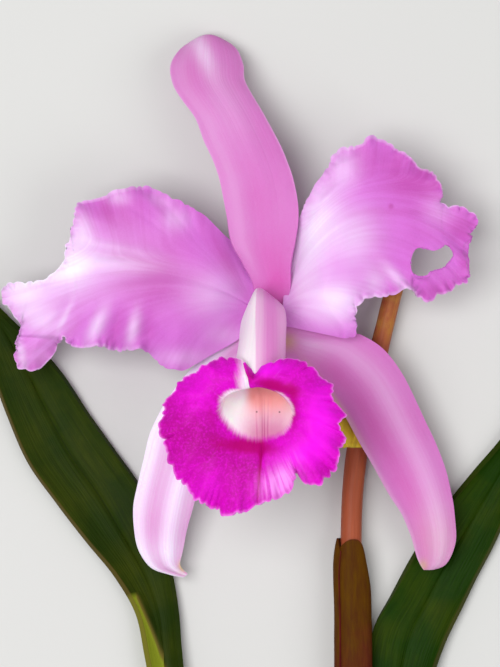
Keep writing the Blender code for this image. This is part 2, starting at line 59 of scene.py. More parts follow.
PETAL_THICKNESS = 0.7
SEPAL_THICKNESS = 1.0
LIP_THICKNESS = 0.8
LEAF_THICKNESS = 2.2
SHEATH_THICKNESS = 0.7

# Edges that bend by less than this many degrees are shaded smooth.
SMOOTH_ANGLE = 70.0
# Faces along and across each sheet, and along and round each stalk.
PETAL_GRID = (240, 72)
SEPAL_GRID = (200, 48)
LIP_GRID = (100, 400)
SHEATH_GRID = (120, 160)
LEAF_GRID = (240, 48)
OVARY_GRID = (140, 48)
PEDUNCLE_GRID = (220, 40)
PSEUDOBULB_GRID = (90, 96)

# The hub of the bloom is the ovary's top.
HUB_RADIUS = 4.5
HUB_TOP = 23.4

# A rib runs across a blade: x and y of one end and of the other, then the heights of the first end, the
# middle and the other end. The ribs follow each other from the blade's base to its tip.
PETAL_LEFT_RIBS = (
    (-4.8, -2.8, -4.8, 3.2, 22.3, 22.4, 22.3), (-9.4, -6.7, -5, 10.6, 22.6, 23.4, 20.6),
    (-14.5, -9.8, -7.4, 17.3, 23, 25.2, 19.6), (-19.5, -12.5, -11.3, 24.3, 23.6, 26.8, 20.4),
    (-24, -15.2, -15.5, 28.5, 24.2, 28, 22.6), (-28, -17.2, -19.5, 32.5, 24.6, 28.8, 24.2),
    (-32, -17.2, -24, 36, 25.4, 29.2, 25.4), (-35.8, -15.8, -28.5, 38.6, 24, 29.4, 27),
    (-39.8, -11.8, -34, 41.2, 23, 29.4, 26.4), (-43.1, -10.7, -39.8, 44.2, 27, 29.2, 24.4),
    (-47, -10.9, -45.5, 43.8, 25, 28.9, 27.2), (-50.4, -10.9, -51, 42.8, 22.5, 28.4, 27.8),
    (-53.5, -10.1, -56.5, 40.5, 22.4, 27.8, 24.8), (-56.2, -9.6, -62.5, 39.5, 25.9, 27.2, 24),
    (-58.9, -9.5, -65, 35.5, 27.4, 26.5, 26.4), (-61.6, -10, -65.9, 31, 24.6, 25.9, 25.6),
    (-63.8, -9.9, -66.1, 27.6, 22.9, 25.3, 23.4), (-66, -9.4, -67.8, 24.5, 21.7, 24.7, 23.4),
    (-67.5, -8.3, -68.8, 19.5, 22.4, 24.1, 24.6), (-69, -6.8, -71.6, 15.8, 24.6, 23.4, 23.8),
    (-71.6, -10.4, -73.9, 14.2, 17.4, 22.8, 22.7), (-77, -16.8, -76, 13.1, 15.4, 22.3, 21.7),
    (-82.5, -17.3, -77.5, 12.5, 16.6, 22, 21.3), (-85.4, -15, -78.5, 12.3, 19.4, 21.7, 21.4),
    (-85, -9, -79.2, 12.1, 21.2, 21.5, 21.5), (-83.4, -3.5, -81.5, 11.9, 20, 21, 21.8),
    (-86, 2, -85.7, 12.3, 19.4, 20.3, 21), (-88.3, 4.1, -88.1, 11.3, 19.2, 19.8, 20.2),
    (-89.5, 5, -89.8, 9, 19.2, 19.4, 19.4),
)
PETAL_RIGHT_RIBS = (
    (4.8, -2.6, 4.8, 3.4, 22.3, 22.4, 22.3), (8.5, -3.2, 6, 10.6, 22.6, 23.4, 20.6),
    (12.5, -4, 7.2, 18.2, 23, 25.6, 19.6), (17.5, -5, 8.8, 25.5, 23.6, 27.6, 20.4),
    (21.5, -5.8, 10.4, 32.5, 24.4, 29.2, 22.2), (25.5, -6.6, 12.4, 38, 25.6, 30.2, 24.6),
    (28.8, -6, 15.5, 44, 26.4, 30.6, 26.6), (29.7, -3, 19, 49, 26.6, 30.8, 27.8),
    (29.3, 0.5, 21.8, 54.5, 27.4, 30.8, 27), (30.2, 4, 25, 57, 28, 30.6, 25.8),
    (33, 6.4, 29.7, 57.8, 26.6, 30.2, 27.8), (37.7, 7.1, 33.5, 60.6, 23.6, 29.6, 28.6),
    (41.5, 7.9, 38, 59.8, 22.6, 28.8, 25.8), (45, 9.3, 42.5, 57.5, 24.6, 28.2, 26.6),
    (47.6, 10.1, 47, 54.5, 27, 27.8, 27.8), (50.5, 7.3, 51, 51, 20.6, 27.2, 25.4),
    (54.6, 5.4, 55.4, 48, 19, 26.6, 25.6), (57, 7.9, 58, 44.5, 19.8, 26, 27.4),
    (60.5, 8.6, 58.2, 39.5, 21.8, 25.4, 25.4), (63.5, 10.6, 61, 37.2, 20.6, 24.6, 23.4),
    (67, 12.2, 64.7, 38, 20, 23.8, 25), (67.2, 15.5, 67.5, 36.2, 22, 23.2, 24.6),
    (66, 20.5, 70, 34.6, 21.4, 22.4, 22.4), (66, 24.5, 70.7, 32.5, 20.6, 21.6, 22.4),
    (68.3, 27.8, 70, 30, 21.4, 21.4, 21.6),
)
DORSAL_SEPAL_RIBS = (
    (-4.4, 4.4, 5.6, 3.6, 20.4, 20.4, 20.2), (-5.2, 11.6, 7.6, 10.2, 22, 20.9, 21.8),
    (-8.6, 18.5, 7.6, 18.5, 24, 22.2, 24), (-12.3, 25.5, 9.3, 26.5, 25.2, 23.6, 25.2),
    (-14, 34, 10.2, 35, 25.6, 24.8, 25.6), (-15.7, 44, 9, 44.5, 25, 25.4, 25),
    (-18.3, 52.5, 6.2, 53, 23.4, 25.2, 23.6), (-21.6, 60, 2.6, 61, 21.6, 24.2, 22),
    (-24.5, 67.5, -1.6, 68.5, 19.6, 22.8, 20.2), (-28.5, 73.5, -5.3, 75, 17.4, 20.8, 17.8),
    (-32, 79, -8.2, 81, 14.6, 18.2, 14.8), (-33, 85.5, -8.6, 86, 11.4, 15, 11.4),
    (-30.5, 90.5, -10.6, 91, 8, 11.2, 8), (-26.5, 94, -14, 94.2, 4.8, 7, 4.8),
    (-23.5, 94.2, -16.5, 94.4, 2.4, 3, 2.4), (-21.4, 91.6, -17.6, 91.7, 0.3, 0.3, 0.3),
)
SEPAL_LEFT_RIBS = (
    (-4.9, -2.4, -0.7, -5.4, 20.5, 20.5, 20.5), (-10.5, -5.5, -3, -11, 19.8, 20.4, 19.6),
    (-17.5, -10, -6.6, -16.5, 19, 20.4, 18.6), (-24, -15.5, -10.5, -23, 18.2, 20.2, 17.6),
    (-30, -22, -14.5, -30, 17.4, 19.8, 16.8), (-35, -29.5, -18, -38, 16.8, 19.4, 16),
    (-39.5, -38, -20.5, -46, 16.2, 18.8, 15.4), (-42, -48, -22.9, -54, 15.4, 18, 14.6),
    (-44.2, -57, -25, -61.5, 14.6, 17.2, 13.8), (-45.5, -66, -26.8, -68.5, 13.4, 16, 12.6),
    (-45, -74, -28.4, -74.5, 12, 14.4, 11.4), (-43.2, -80, -29.5, -79.5, 10.4, 12.6, 10.2),
    (-39.5, -84.8, -30, -83.5, 8.8, 10.4, 9), (-33.8, -87, -28.8, -85.8, 7.8, 8.6, 8),
    (-28.8, -88.2, -27.5, -87.2, 7.4, 7.5, 7.4),
)
SEPAL_RIGHT_RIBS = (
    (1.1, -5.4, 5.1, -2, 20.5, 20.5, 20.5), (4.6, -12, 10.5, -3.6, 19.6, 20.2, 20.2),
    (9.8, -14.6, 17, -4.8, 18.6, 20, 19.8), (13.5, -17.2, 24, -5, 17.8, 19.8, 19.2),
    (17, -21.5, 31, -5.6, 17, 19.6, 18.4), (21, -26.5, 38, -10, 16.4, 19.4, 17.4),
    (25.3, -32, 43.5, -16, 15.8, 19, 16.6), (29.5, -39, 48, -24, 15.2, 18.4, 15.8),
    (33.5, -46, 52.2, -33, 14.6, 17.8, 15), (37.5, -53, 56.5, -42, 13.8, 17, 14.2),
    (41.5, -60, 60, -51, 13, 16, 13.2), (45.5, -66.5, 62.4, -61, 12.2, 14.8, 12.2),
    (48.5, -73, 63.6, -71, 11, 13.4, 10.8), (50.3, -79, 63, -78.5, 9.8, 11.6, 9.4),
    (51.8, -83.2, 60.5, -83.6, 8.8, 9.8, 8.4), (53.2, -85.6, 56.2, -85.4, 8.2, 8.4, 8.2),
)
LEAF_LEFT_RIBS = (
    (19.7, -163.5, 19.7, -152.6, 11.8, 8.6, 11.8), (9, -165.6, 10, -153.6, 12, 7.8, 11.8),
    (-5, -163.5, -2, -151, 11, 6.8, 10.8), (-19, -156, -13, -144.5, 9.6, 5.6, 9.4),
    (-31.5, -143, -22.5, -135, 8.2, 4.4, 8), (-38.5, -129, -28.5, -124.5, 7, 3.2, 6.8),
    (-41.2, -116, -30.2, -113, 6, 2.4, 5.8), (-44.5, -101, -31.2, -100, 5.2, 1.6, 4.8),
    (-52, -88, -33.5, -86, 4.6, 0.9, 3.9), (-62, -76, -37.5, -72.5, 4.2, 0.8, 3.6),
    (-72.5, -62.5, -43.8, -58, 4, 0.8, 3.6), (-82, -49, -52.5, -45.5, 4, 0.8, 3.6),
    (-89, -33, -61.5, -33, 4.2, 1.1, 4), (-94.5, -17.5, -70, -20, 4.8, 2.2, 4.6),
    (-99, -3, -79, -9.5, 5.6, 3.8, 5.4), (-102.5, 8, -88.5, -0.5, 6.8, 5.6, 6.6),
    (-104.6, 14.5, -97, 8, 7.8, 7.2, 7.8), (-105, 17.6, -103.4, 16.2, 8.4, 8.2, 8.4),
)
LEAF_RIGHT_RIBS = (
    (38.3, -163.5, 38.3, -152.6, 11.8, 8.6, 11.8), (46.5, -155, 39.8, -147, 11, 6.6, 10.4),
    (49.8, -145, 38.6, -139, 9.4, 4.6, 5.4), (53, -133.5, 35.8, -129, 7.8, 3, 2.4),
    (56.6, -120.5, 34.6, -118, 6.2, 2, 1.3), (60.8, -109.5, 36.4, -106, 5.2, 1.4, 1.3),
    (66, -99, 42.4, -95, 4.6, 0.9, 2.6), (71.2, -88.5, 49.5, -82, 4.2, 0.8, 3.8),
    (76.5, -78.5, 56.5, -71, 4, 0.8, 3.6), (81.5, -67.5, 64, -61, 4, 0.8, 3.6),
    (86.5, -56, 71.5, -52, 3.8, 0.8, 3.6), (91, -44.5, 78.5, -44, 3.8, 1.2, 3.6),
    (94.5, -33, 85, -35.5, 4, 2, 3.8), (97, -23, 90.5, -26, 4.6, 3.2, 4.4),
    (98.4, -13.5, 94.8, -15, 5.6, 4.8, 5.4), (98.5, -5, 97.4, -5.4, 6.6, 6.5, 6.6),
)
# The hole that was eaten in the right petal.
BITE_OUTLINE = (
    (49.5, 23.3), (52.9, 23.3), (55.3, 22.6), (57.3, 23.3), (60, 24.6), (62, 22.9),
    (62.3, 20.9), (61, 18.9), (59, 16.9), (57, 16.2), (54.6, 15.5), (53.6, 14.2),
    (51.2, 13.8), (49.2, 14.5), (47.9, 16.9), (48, 20.6),
)

# The rings of the lip's tube, from its foot to its throat: middle, half width, half depth, tilt in degrees,
# and how strongly the ring is pinched to a ridge at the seam.
LIP_RINGS = (
    ((-1.3, 2.6, 24.3), 4.9, 4.6, 0, 0.3),
    ((-1.5, 2.6, 29), 6, 6.2, 8, 0.5),
    ((-1.7, -0.2, 36), 7.3, 7.3, 25, 0.5),
    ((-2.2, -7.6, 43), 7.6, 7.8, 40, 0.35),
    ((-3.1, -16, 49.5), 8.3, 8.4, 45, 0.2),
    ((-4.2, -24.8, 54.5), 10.2, 9.2, 40, 0.05),
    ((-4.8, -31.2, 57.6), 12.3, 9.6, 22, 0),
)
# The seam's place is counted from the top of the tube by the left, in degrees.
LIP_SEAM = 15.0
LIP_RIDGE_HEIGHT = 2.4
# Between the throat and the margin the blade arches up: share of the way, rise.
LIP_ARCH = ((0.34, 2.6), (0.68, 2.0))
LIP_MARGIN = (
    (-8.6, -15.2, 60), (-12, -13.7, 59), (-18, -14.3, 58), (-22.6, -16.6, 57),
    (-27, -20.2, 56.4), (-31.5, -23.5, 55.6), (-34.4, -28.5, 55), (-36.4, -35.5, 54.6),
    (-35.2, -41.5, 54.6), (-33.4, -47.5, 54.8), (-31, -53.5, 55.2), (-27, -58, 55.6),
    (-23.4, -61.4, 55.8), (-19, -64, 55.6), (-14.8, -66.6, 55), (-9, -65.4, 54.6),
    (-4, -63.4, 55.6), (0.6, -61.6, 55), (5.8, -59.6, 54.4), (10, -56.2, 54.8),
    (9, -52.4, 57.4), (13.4, -56.4, 55), (18.6, -54.6, 55.6), (22.6, -51.4, 54.8),
    (24, -46.4, 55.6), (26, -41.4, 54.8), (24, -36.4, 56.4), (25.6, -32.8, 55.2),
    (22.2, -27.6, 56.8), (21.6, -24, 56), (17.6, -19.6, 57.6), (12.8, -15.4, 58),
    (7.6, -13.8, 59), (2.4, -14.8, 59.4), (-2, -15.8, 60.2), (-5.2, -17.8, 61.2),
)
# The lip stands nearer the eye than the petals, so its margin is smaller than it looks by this share.
LIP_NEARNESS = 0.97
VIEW_MIDDLE = Vector((-6.1, -5.2, 0.0))
LIP_FRILLS = 15
LIP_FRILL_HEIGHT = 1.5
LIP_FRILL_START = 0.76

OVARY_PATH = (
    ((0.0, 0.0, HUB_TOP), HUB_RADIUS - 0.7),
    ((0.0, 0.0, 22.9), HUB_RADIUS),
    ((0.0, 0.0, 19.2), HUB_RADIUS - 0.2),
    ((0.6, -2, 16.4), 3.6),
    ((3.4, -7.4, 13.8), 3.1),
    ((8.4, -13.6, 12.2), 2.7),
    ((14.6, -19.4, 10.6), 2.4),
    ((20, -26.4, 9.2), 2.3),
    ((23.6, -33.4, 8.2), 2.9),
    ((26.2, -39.6, 7.6), 3.2),
    ((28, -43.2, 7.4), 2.6),
)
PEDUNCLE_PATH = (
    ((44.4, 14.5, 6.2), 2.7),
    ((41.6, 4, 6.2), 2.8),
    ((38.2, -10, 6), 2.9),
    ((34.8, -26, 5.8), 3),
    ((31.6, -40, 6.6), 3.3),
    ((30.1, -48, 6.8), 3.4),
    ((28.8, -62, 7), 3.3),
    ((28.4, -80, 7.2), 3.3),
    ((28.9, -105, 7.3), 3.3),
    ((29, -130, 7.4), 3.3),
    ((29, -151.7, 7.6), 3.3),
)
SHEATH_TIP_Y = -75.2
SHEATH_FOOT_Y = -151.7
SHEATH_HALF_WIDTH = 6.0
SHEATH_HALF_HEIGHT = 4.4
# The sheath is rolled once round and a little more, from this turn on, in degrees. Its rim is cut slanting.
SHEATH_START = 135.0
SHEATH_ROLL = 384.0
SHEATH_STEP = 0.6
SHEATH_ARCH = 10.0
SHEATH_NOTCH = 4.2
SHEATH_ASIDE = 0.3
# Towards its rim the sheath closes on the stem, from this share of its length on.
SHEATH_CLOSING_FROM = 0.86
SHEATH_CLOSING = 0.2
SHEATH_FLATTENING = 0.1
PSEUDOBULB_PATH = (
    ((29, -152, 8.2), 7.4),
    ((29, -153.2, 8.2), 8.3),
    ((29, -158, 8.4), 8.9),
    ((29.2, -165, 8.9), 9.4),
    ((29.6, -173, 9.4), 9.9),
    ((30, -180, 9.8), 10.2),
)


# Soft ovals, seen from above: middle x and y, half sizes, turn in degrees and strength. They say where a piece
# is pale, deep or greenish. For a fold the strength is its height. Many pale ovals are painted highlights on lit
# ridges and on sides that face the lamp, and many deep ovals are painted shade in the valleys between folds,
# under turned edges and where a blade rolls back; the others are the tissue's own lighter and deeper tones.
# Partly painted highlights: on the crinkles' ridges, on lit folds and over the outer third, which faces the lamp.
PETAL_LEFT_PALE = (
    (-84.3, 10.1, 8, 7, 0, 0.6), (-77, 0, 9, 6, -20, 0.5), (-65, 22, 5, 10, 0, 0.35),
    (-70, 14.5, 14, 10, 0, 0.42), (-58, 20, 22, 12, 0, 0.2), (-67.4, 15.5, 12, 3, 20, 0.2),
    (-49.9, 18.2, 14, 3, -4, 0.25), (-50.5, 23.4, 14, 1.8, -12, 0.15), (-31.3, 33, 4.5, 4, 0, 0.3),
    (-57.4, -2.5, 2.2, 6.5, -26, 0.5), (-45.2, -3.6, 1.9, 6, -12, 0.5), (-68.4, 0.3, 0.9, 5, -28, 0.3),
    (-83.3, -12.5, 1.6, 6, 10, 0.4), (-50, 40.5, 4, 2.5, 0, 0.35), (-36, 39.5, 4, 2.5, -20, 0.2),
    (-28, -13.5, 12, 3.5, 0, 0.28), (-19, 8, 10, 8, 0, 0.35), (-78, -12.5, 7, 4, 0, 0.2),
    (-14.5, -6, 7, 4, 0, 0.25), (-62, 30, 3, 6, 20, 0.35),
)
# Partly painted shade: in the valleys between the crinkles, under the turned edge of the lobe and along the band that
# rolls back by the dorsal sepal.
PETAL_LEFT_DEEP = (
    (-77.5, -13.5, 9, 4.5, 0, 0.15), (-14.2, 18.9, 15, 2.6, -60, 0.6), (-56.6, 35.4, 7, 4.6, -10, 0.4),
    (-43.1, 38.8, 9, 5, 0, 0.2), (-43, 29, 22, 8, 0, 0.15), (-38, 14, 16, 12, -8, 0.9),
    (-53, 34, 2, 6, 25, 0.3), (-48, 35, 1.6, 6, 20, 0.25), (-64.5, -1, 2.4, 6, -30, 0.3),
    (-51.2, -3.2, 2, 6, -18, 0.35), (-40, -5, 2.5, 5.5, -10, 0.25), (-52, 20.9, 12, 1.1, -10, 0.25),
    (-8.4, 0, 5, 6, 0, 0.25),
)
# Partly painted highlights: over the left third, which faces the lamp, and on a crinkle's ridge.
PETAL_RIGHT_PALE = (
    (14.6, 26.3, 6.5, 20, -14, 0.85), (27.6, 27, 9, 10, 0, 0.5), (20, 5, 9, 7, 0, 0.6),
    (25, 6, 7, 8, 0, 0.3), (26, 50, 5, 7, 0, 0.3), (43, 13.5, 1.8, 6, 42, 0.45),
    (57, 36, 5, 5, 0, 0.2), (36, 12, 4, 5, 0, 0.35),
)
# Partly painted shade in the valleys beside the folds; the rest are deeper tones and a small dark speck.
PETAL_RIGHT_DEEP = (
    (51.2, 46.5, 12, 9, 0, 0.8), (36, 52, 9, 6, 0, 0.35), (42, 35.4, 15, 1.3, 1, 0.3),
    (22.6, 28.6, 5, 1.4, 48, 0.2), (38, 16, 3.5, 4.5, 40, 0.3), (10.8, 9.4, 3.2, 4, 0, 0.5),
    (9.2, 18.9, 1.9, 9, -12, 0.4), (58, 9.4, 9, 3.6, 12, 0.6), (66.4, 18.9, 3, 6, 0, 0.5),
    (65.7, 31.3, 6, 5, 0, 0.6), (48, 28, 12, 5, 0, 0.2), (41.1, 37.4, 0.7, 0.7, 0, 1.4),
)
# A painted highlight on the crown of the tip, and a paler stretch below it.
DORSAL_PALE = (
    (-22, 90, 3, 9, 20, 0.5), (-14, 72, 6, 14, 20, 0.15),
)
DORSAL_DEEP = (
    (3.4, 9, 4, 9, -10, 0.8), (-1, 6, 5, 5, 0, 0.5), (-1, 28, 6, 20, 6, 0.25),
    (2, 18, 7, 9, 0, 0.3), (-26, 84, 5, 8, 20, 0.3),
)
# Partly painted light on the left sepal, which faces the lamp, and partly its own paler tone.
SEPAL_LEFT_PALE = (
    (-20, -12, 12, 5, 35, 0.4), (-30, -50, 16, 40, 10, 0.4), (-36, -80, 9, 6, 0, 0.3),
)
SEPAL_RIGHT_PALE = (
    (14, -10, 7, 4, -40, 0.2), (58, -77, 7, 15, 12, 0.18),
)
# The scales of the three sets of veins, each finer than the last: across the blade and along it.
PETAL_VEINS = ((8.0, 1.6), (45.0, 2.4), (150.0, 3.0))
SEPAL_VEINS = ((6.0, 1.0), (14.0, 1.3), (24.0, 1.6))
# The length of a lobe on the petals' and the lip's margins, and of one curl up and down.
PETAL_LOBE = 3.9
LIP_LOBE = 4.6
CURL_SPACING = 5.2
# How far in from a petal's margins their shape is felt.
MARGIN_BELT = 16.0
# The petals' fans of veins: their base, how far they reach, where the veins begin to open and how much they
# bend outwards above the midrib. Then for each petal its side, the midrib's turn in degrees at even distances
# from the base, the point that the upper veins spread from, and the turn at which they start.
FAN_BASE = Vector((3.0, 2.0))
FAN_REACH = 90.0
FAN_OPENING = 25.0
VEIN_SPREAD = 0.37
FAN_LEFT = (-1.0, (34.0, 26.0, 18.0, 9.0, 4.0), Vector((36.7, -26.0)), 0.13)
FAN_RIGHT = (1.0, (68.0, 66.0, 55.0, 29.0, 12.0), Vector((27.2, -33.0)), 0.2)
# Turned edges: middle, half length, turn in degrees and drop.
PETAL_LEFT_EDGES = ((-77.8, -5.6, 9.0, -3.0, 1.8),)
PETAL_RIGHT_EDGES = ((47.7, 10.0, 5.0, 88.0, 1.8),)
SEPAL_RIGHT_DEEP = (
    (37, -35, 7, 20, 33, 0.22), (22, -16, 8, 6, 0, 0.05), (58, -78, 6, 7, 0, 0.3),
)
SEPAL_LEFT_RIPE = ((-29.0, -84.3, 1.6, 2.0, 0.0, 1.0),)
SEPAL_RIGHT_RIPE = (
    (6.5, -8, 3, 3, 0, 0.5), (22, -27.5, 14, 1.4, -54, 0.4), (34, -50, 14, 1.3, -60, 0.35),
    (53, -84, 1.6, 2, 0, 0.4), (57, -76, 9, 14, 10, 0.12),
)
PETAL_LEFT_FOLDS = (
    (-60, 17, 16, 2.2, 8, 0.9), (-52, 20.8, 13, 1.3, -9, -0.7), (-50.5, 23.6, 14, 1.6, -12, 0.5),
    (-57.4, -2.5, 2.6, 6.5, -26, 1.9), (-51.2, -3.2, 2, 6, -18, -1.4), (-45.2, -3.8, 2.4, 6, -12, 1.8),
    (-40, -5.5, 2.2, 5.5, -10, -1.2), (-69.5, 0.5, 2, 6, -30, 1), (-57, 36, 4.5, 6, 10, -1.2),
    (-62.6, 34, 1.8, 6, 18, 0.8),
)
PETAL_RIGHT_FOLDS = (
    (43, 13.5, 2, 7, 42, 0.9), (38.5, 15.5, 2.6, 6, 42, -1), (9.6, 19, 1.6, 12, -12, -0.7),
    (42, 37.2, 15, 1.8, 1, 0.5),
)


# At its notch the lip's left end passes under its right end, which has a narrow notch of its own.
LIP_LEFT_END = Vector((1.2, 0.2, -1.2))
LIP_RIGHT_END = Vector((-2.8, 3.1, 0.9))
LIP_TIP_NOTCH = Vector((-1.2, -1.8, 0.0))
THROAT_SEAM_SHIFT = 1.9
LIP_NOTCH = ((10.1, -55.0, 1.5, 4.0, 0.0, 0.8),)
LIP_NOTCH_DEPTH = 3.2
# Painted shade on the blade's shaded left and below the throat, partly the blade's own deeper magenta.
LIP_SHADE_AND_DARK = (
    (-33, -36, 6, 14, 0, 0.7), (-24, -38, 6, 8, -20, 0.5), (-27, -52, 9, 6, -40, 0.3),
    (-10.5, -58, 8, 7, 0, 0.6), (17.5, -50, 6, 5, 0, 0.25), (-18, -44, 9, 6, -30, 0.9),
    (-6, -50, 5, 4, 0, 0.7),
)
# Painted light where the blade faces the lamp.
LIP_PAINTED_LIGHT = (
    (17.5, -34, 6, 12, 0, 0.9), (-23, -22, 10, 6, 25, 0.35), (10, -46.5, 8, 5, 20, 0.7),
    (-20, -56, 6, 5, 0, 0.3), (-0.5, -17, 7, 2.4, 0, 0.9),
)
LIP_CRIMSON = (
    (2, -22.5, 8, 2.4, -14, 0.95), (8.6, -31, 2.2, 8, 0, 0.7), (-7, -43.4, 12, 2.8, -6, 1),
    (-2.9, -52.5, 11, 0.9, 86, 0.9), (-19.5, -33, 2.2, 8, 10, 0.4), (-6.9, -17.5, 1.4, 3, 15, 0.7),
)
# A painted highlight: a streaky shine on the blade beside the notch.
LIP_PAINTED_SHINE = ((3.4, -56.0, 5.8, 4.6, 25.0, 1.3), (7.0, -50.5, 3.0, 5.0, -30.0, 0.3))
# How far the pale throat reaches from its middle, seen from above, at every 30 degrees from the right by the
# top, and how wide its feathered edge is there.
THROAT_MIDDLE = Vector((-4.4, -31.7))
THROAT_REACH = (12.9, 11.1, 8.3, 7.6, 9.4, 12.2, 11.8, 9.9, 9.2, 9.2, 9.9, 12.2, 12.9)
THROAT_FEATHER = (0.9, 0.7, 0.8, 0.6, 1.4, 2.2, 2.6, 2.8, 2.6, 2.4, 2.4, 2.0, 0.9)


def spline(points, share):
    """The place at this share (0 to 1) of a smooth curve through the points."""
    last = len(points) - 1
    place = min(max(share, 0.0), 1.0) * last
    i = min(int(place), last - 1)
    f = place - i
    before, start = points[max(i - 1, 0)], points[i]
    end, after = points[i + 1], points[min(i + 2, last)]
    bend = 2 * before - 5 * start + 4 * end - after
    turn = 3 * start - before - 3 * end + after
    return 0.5 * (2 * start + (end - before) * f + bend * f**2 + turn * f**3)


def ramp(value, low, high):
    """0 below low, 1 above high and a smooth rise between them. With high under low it falls instead."""
    share = min(max((value - low) / (high - low), 0.0), 1.0)
    return share * share * (3.0 - 2.0 * share)


def bell(value, width):
    """1 at 0, and falling smoothly to nothing some way beyond the width on each side."""
    return math.exp(-((value / width) ** 2))


def ripple(x, y=0.0, z=0.0):
    """Smooth natural unevenness between -1 and 1, the same for the same place."""
    return noise.noise(Vector((x, y, z)))


def spots(zones, x, y):
    """The sum of soft oval spots: middle x and y, half sizes, turn in degrees and strength."""
    total = 0.0
    for middle_x, middle_y, half_x, half_y, turn, strength in zones:
        angle = math.radians(turn)
        dx, dy = x - middle_x, y - middle_y
        along = (dx * math.cos(angle) + dy * math.sin(angle)) / half_x
        aside = (dy * math.cos(angle) - dx * math.sin(angle)) / half_y
        total += strength * math.exp(-along * along - aside * aside)
    return total


def linear(hex_colour):
    """A colour as written, such as D98BE0, in the linear values that the shaders take."""
    channels = [int(hex_colour[i : i + 2], 16) / 255 for i in (0, 2, 4)]
    return (*(c / 12.92 if c <= 0.04045 else ((c + 0.055) / 1.055) ** 2.4 for c in channels), 1.0)


def select_only(obj):
    bpy.ops.object.select_all(action="DESELECT")
    obj.select_set(True)
    bpy.context.view_layer.objects.active = obj


def edit_whole(obj, *steps):
    """Runs mesh operators on all of a piece. Each step is an operator and its settings."""
    select_only(obj)
    bpy.ops.object.mode_set(mode="EDIT")
    bpy.ops.mesh.select_all(action="SELECT")
    for step, settings in steps:
        step(**settings)
    bpy.ops.object.mode_set(mode="OBJECT")


def add_grid(name, rows, columns, place, marks=None):
    """A grid laid through place(along, across), with marks(along, across, point) as its attributes."""
    bpy.ops.object.select_all(action="DESELECT")
    bpy.ops.mesh.primitive_grid_add(x_subdivisions=rows, y_subdivisions=columns, size=1.0, calc_uvs=True)
    obj = bpy.context.object
    obj.name = name
    mesh = obj.data
    mesh.name = name
    shares = [(vert.co.x + 0.5, vert.co.y + 0.5) for vert in mesh.vertices]
    points = [place(along, across) for along, across in shares]
    for vert, point in zip(mesh.vertices, points):
        vert.co = (point + BLOOM_AT) * MM
    if marks:
        rows_of_marks = [marks(*share, point) for share, point in zip(shares, points)]
        for key, value in rows_of_marks[0].items():
            kind = "FLOAT_VECTOR" if isinstance(value, tuple) else "FLOAT"
            attribute = mesh.attributes.new(key, kind, "POINT")
            values = [row[key] for row in rows_of_marks]
            if kind == "FLOAT":
                attribute.data.foreach_set("value", values)
            else:
                attribute.data.foreach_set("vector", [number for value in values for number in value])
    return obj


def turn_faces_up(obj):
    """Turns a sheet over if its faces look down."""
    total = sum(face.normal.z * face.area for face in obj.data.polygons)
    if total < 0:
        edit_whole(obj, (bpy.ops.mesh.flip_normals, {}))


def give_thickness(obj, thickness, materials):
    """Gives a sheet its thickness and its materials, the second one, if any, on its under side."""
    select_only(obj)
    for material in materials:
        obj.data.materials.append(material)
    solidify = obj.modifiers.new("Thickness", "SOLIDIFY")
    solidify.thickness = thickness * MM
    solidify.offset = 0.0
    solidify.material_offset = len(materials) - 1
    bpy.ops.object.modifier_apply(modifier=solidify.name)


def finish_piece(obj, nodes):
    """Shades the piece smooth, ties it to the body and hides the solids that it stands for."""
    select_only(obj)
    bpy.ops.object.shade_smooth_by_angle(angle=math.radians(SMOOTH_ANGLE))
    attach(obj, "root")
    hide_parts(*nodes)
    return obj


def set_inputs(made, inputs):
    """Links each input of a node that is given as a socket, and sets any other."""
    for key, value in inputs.items():
        if isinstance(value, bpy.types.NodeSocket):
            made.id_data.links.new(value, made.inputs[key])
        else:
            made.inputs[key].default_value = value


def add_node(tree, kind, inputs=None, output=None, **settings):
    """Adds a shader node with its settings, and gives its named output, or else the first one in use."""
    made = tree.nodes.new("ShaderNode" + kind)
    for key, value in settings.items():
        setattr(made, key, value)
    set_inputs(made, inputs or {})
    return made.outputs[output] if output else next(socket for socket in made.outputs if socket.enabled)


def new_material(name):
    """An empty node material of this name, its Principled shader and the way to add a node to it."""
    material = bpy.data.materials.new(name)
    material.use_nodes = True
    tree = material.node_tree
    return material, tree.nodes["Principled BSDF"], partial(add_node, tree)


def stretched_noise(add, place, scale, detail, roughness=0.5):
    """A flat noise drawn out into streaks along the skin."""
    stretched = add("Mapping", {"Vector": place, "Scale": (*scale, 1.0)})
    inputs = {"Vector": stretched, "Scale": 1.0, "Detail": detail, "Roughness": roughness}
    return add("TexNoise", inputs, noise_dimensions="2D")


def colour_setting(name, description, hex_colour):
    return bpy.props.FloatVectorProperty(
        name=name, description=description, subtype="COLOR", size=4, min=0.0, max=1.0, default=linear(hex_colour)
    )


def length_setting(name, description, millimetres):
    return bpy.props.FloatProperty(
        name=name, description=description, unit="LENGTH", subtype="DISTANCE", min=0.0, default=millimetres * MM
    )


class TepalSettings(bpy.types.PropertyGroup):
    """Colours and fine form of the petals and sepals."""

    base: colour_setting("Base", "Lilac pink of the petals", "D070D0")
    # The deep pink also stands for painted shade in the petals' folds and crinkle valleys.
    deep: colour_setting("Deep", "Deeper pink in the folds and along the veins", "BC50AE")
    pale: colour_setting("Pale", "Near white lilac of the lit ridges and tips", "F2E8FC")
    sepal: colour_setting("Sepal", "Pink of the sepals", "CC76BE")
    # The sepals' deep rose also stands for painted shade in their channels.
    sepal_deep: colour_setting("Sepal base", "Deep rose at the sepals' base", "C85AAC")
    ripe: colour_setting("Ripe", "Yellow green of the sepals' tip and foot", "C9B84E")
    ruffle: length_setting("Ruffle", "Height of the small waves on the petals' margins", 1.0)
    scallop: length_setting("Scallop", "Depth of the scallops along the petals' margins", 0.55)
    vein_relief: length_setting("Vein relief", "Height of the veins", 0.12)


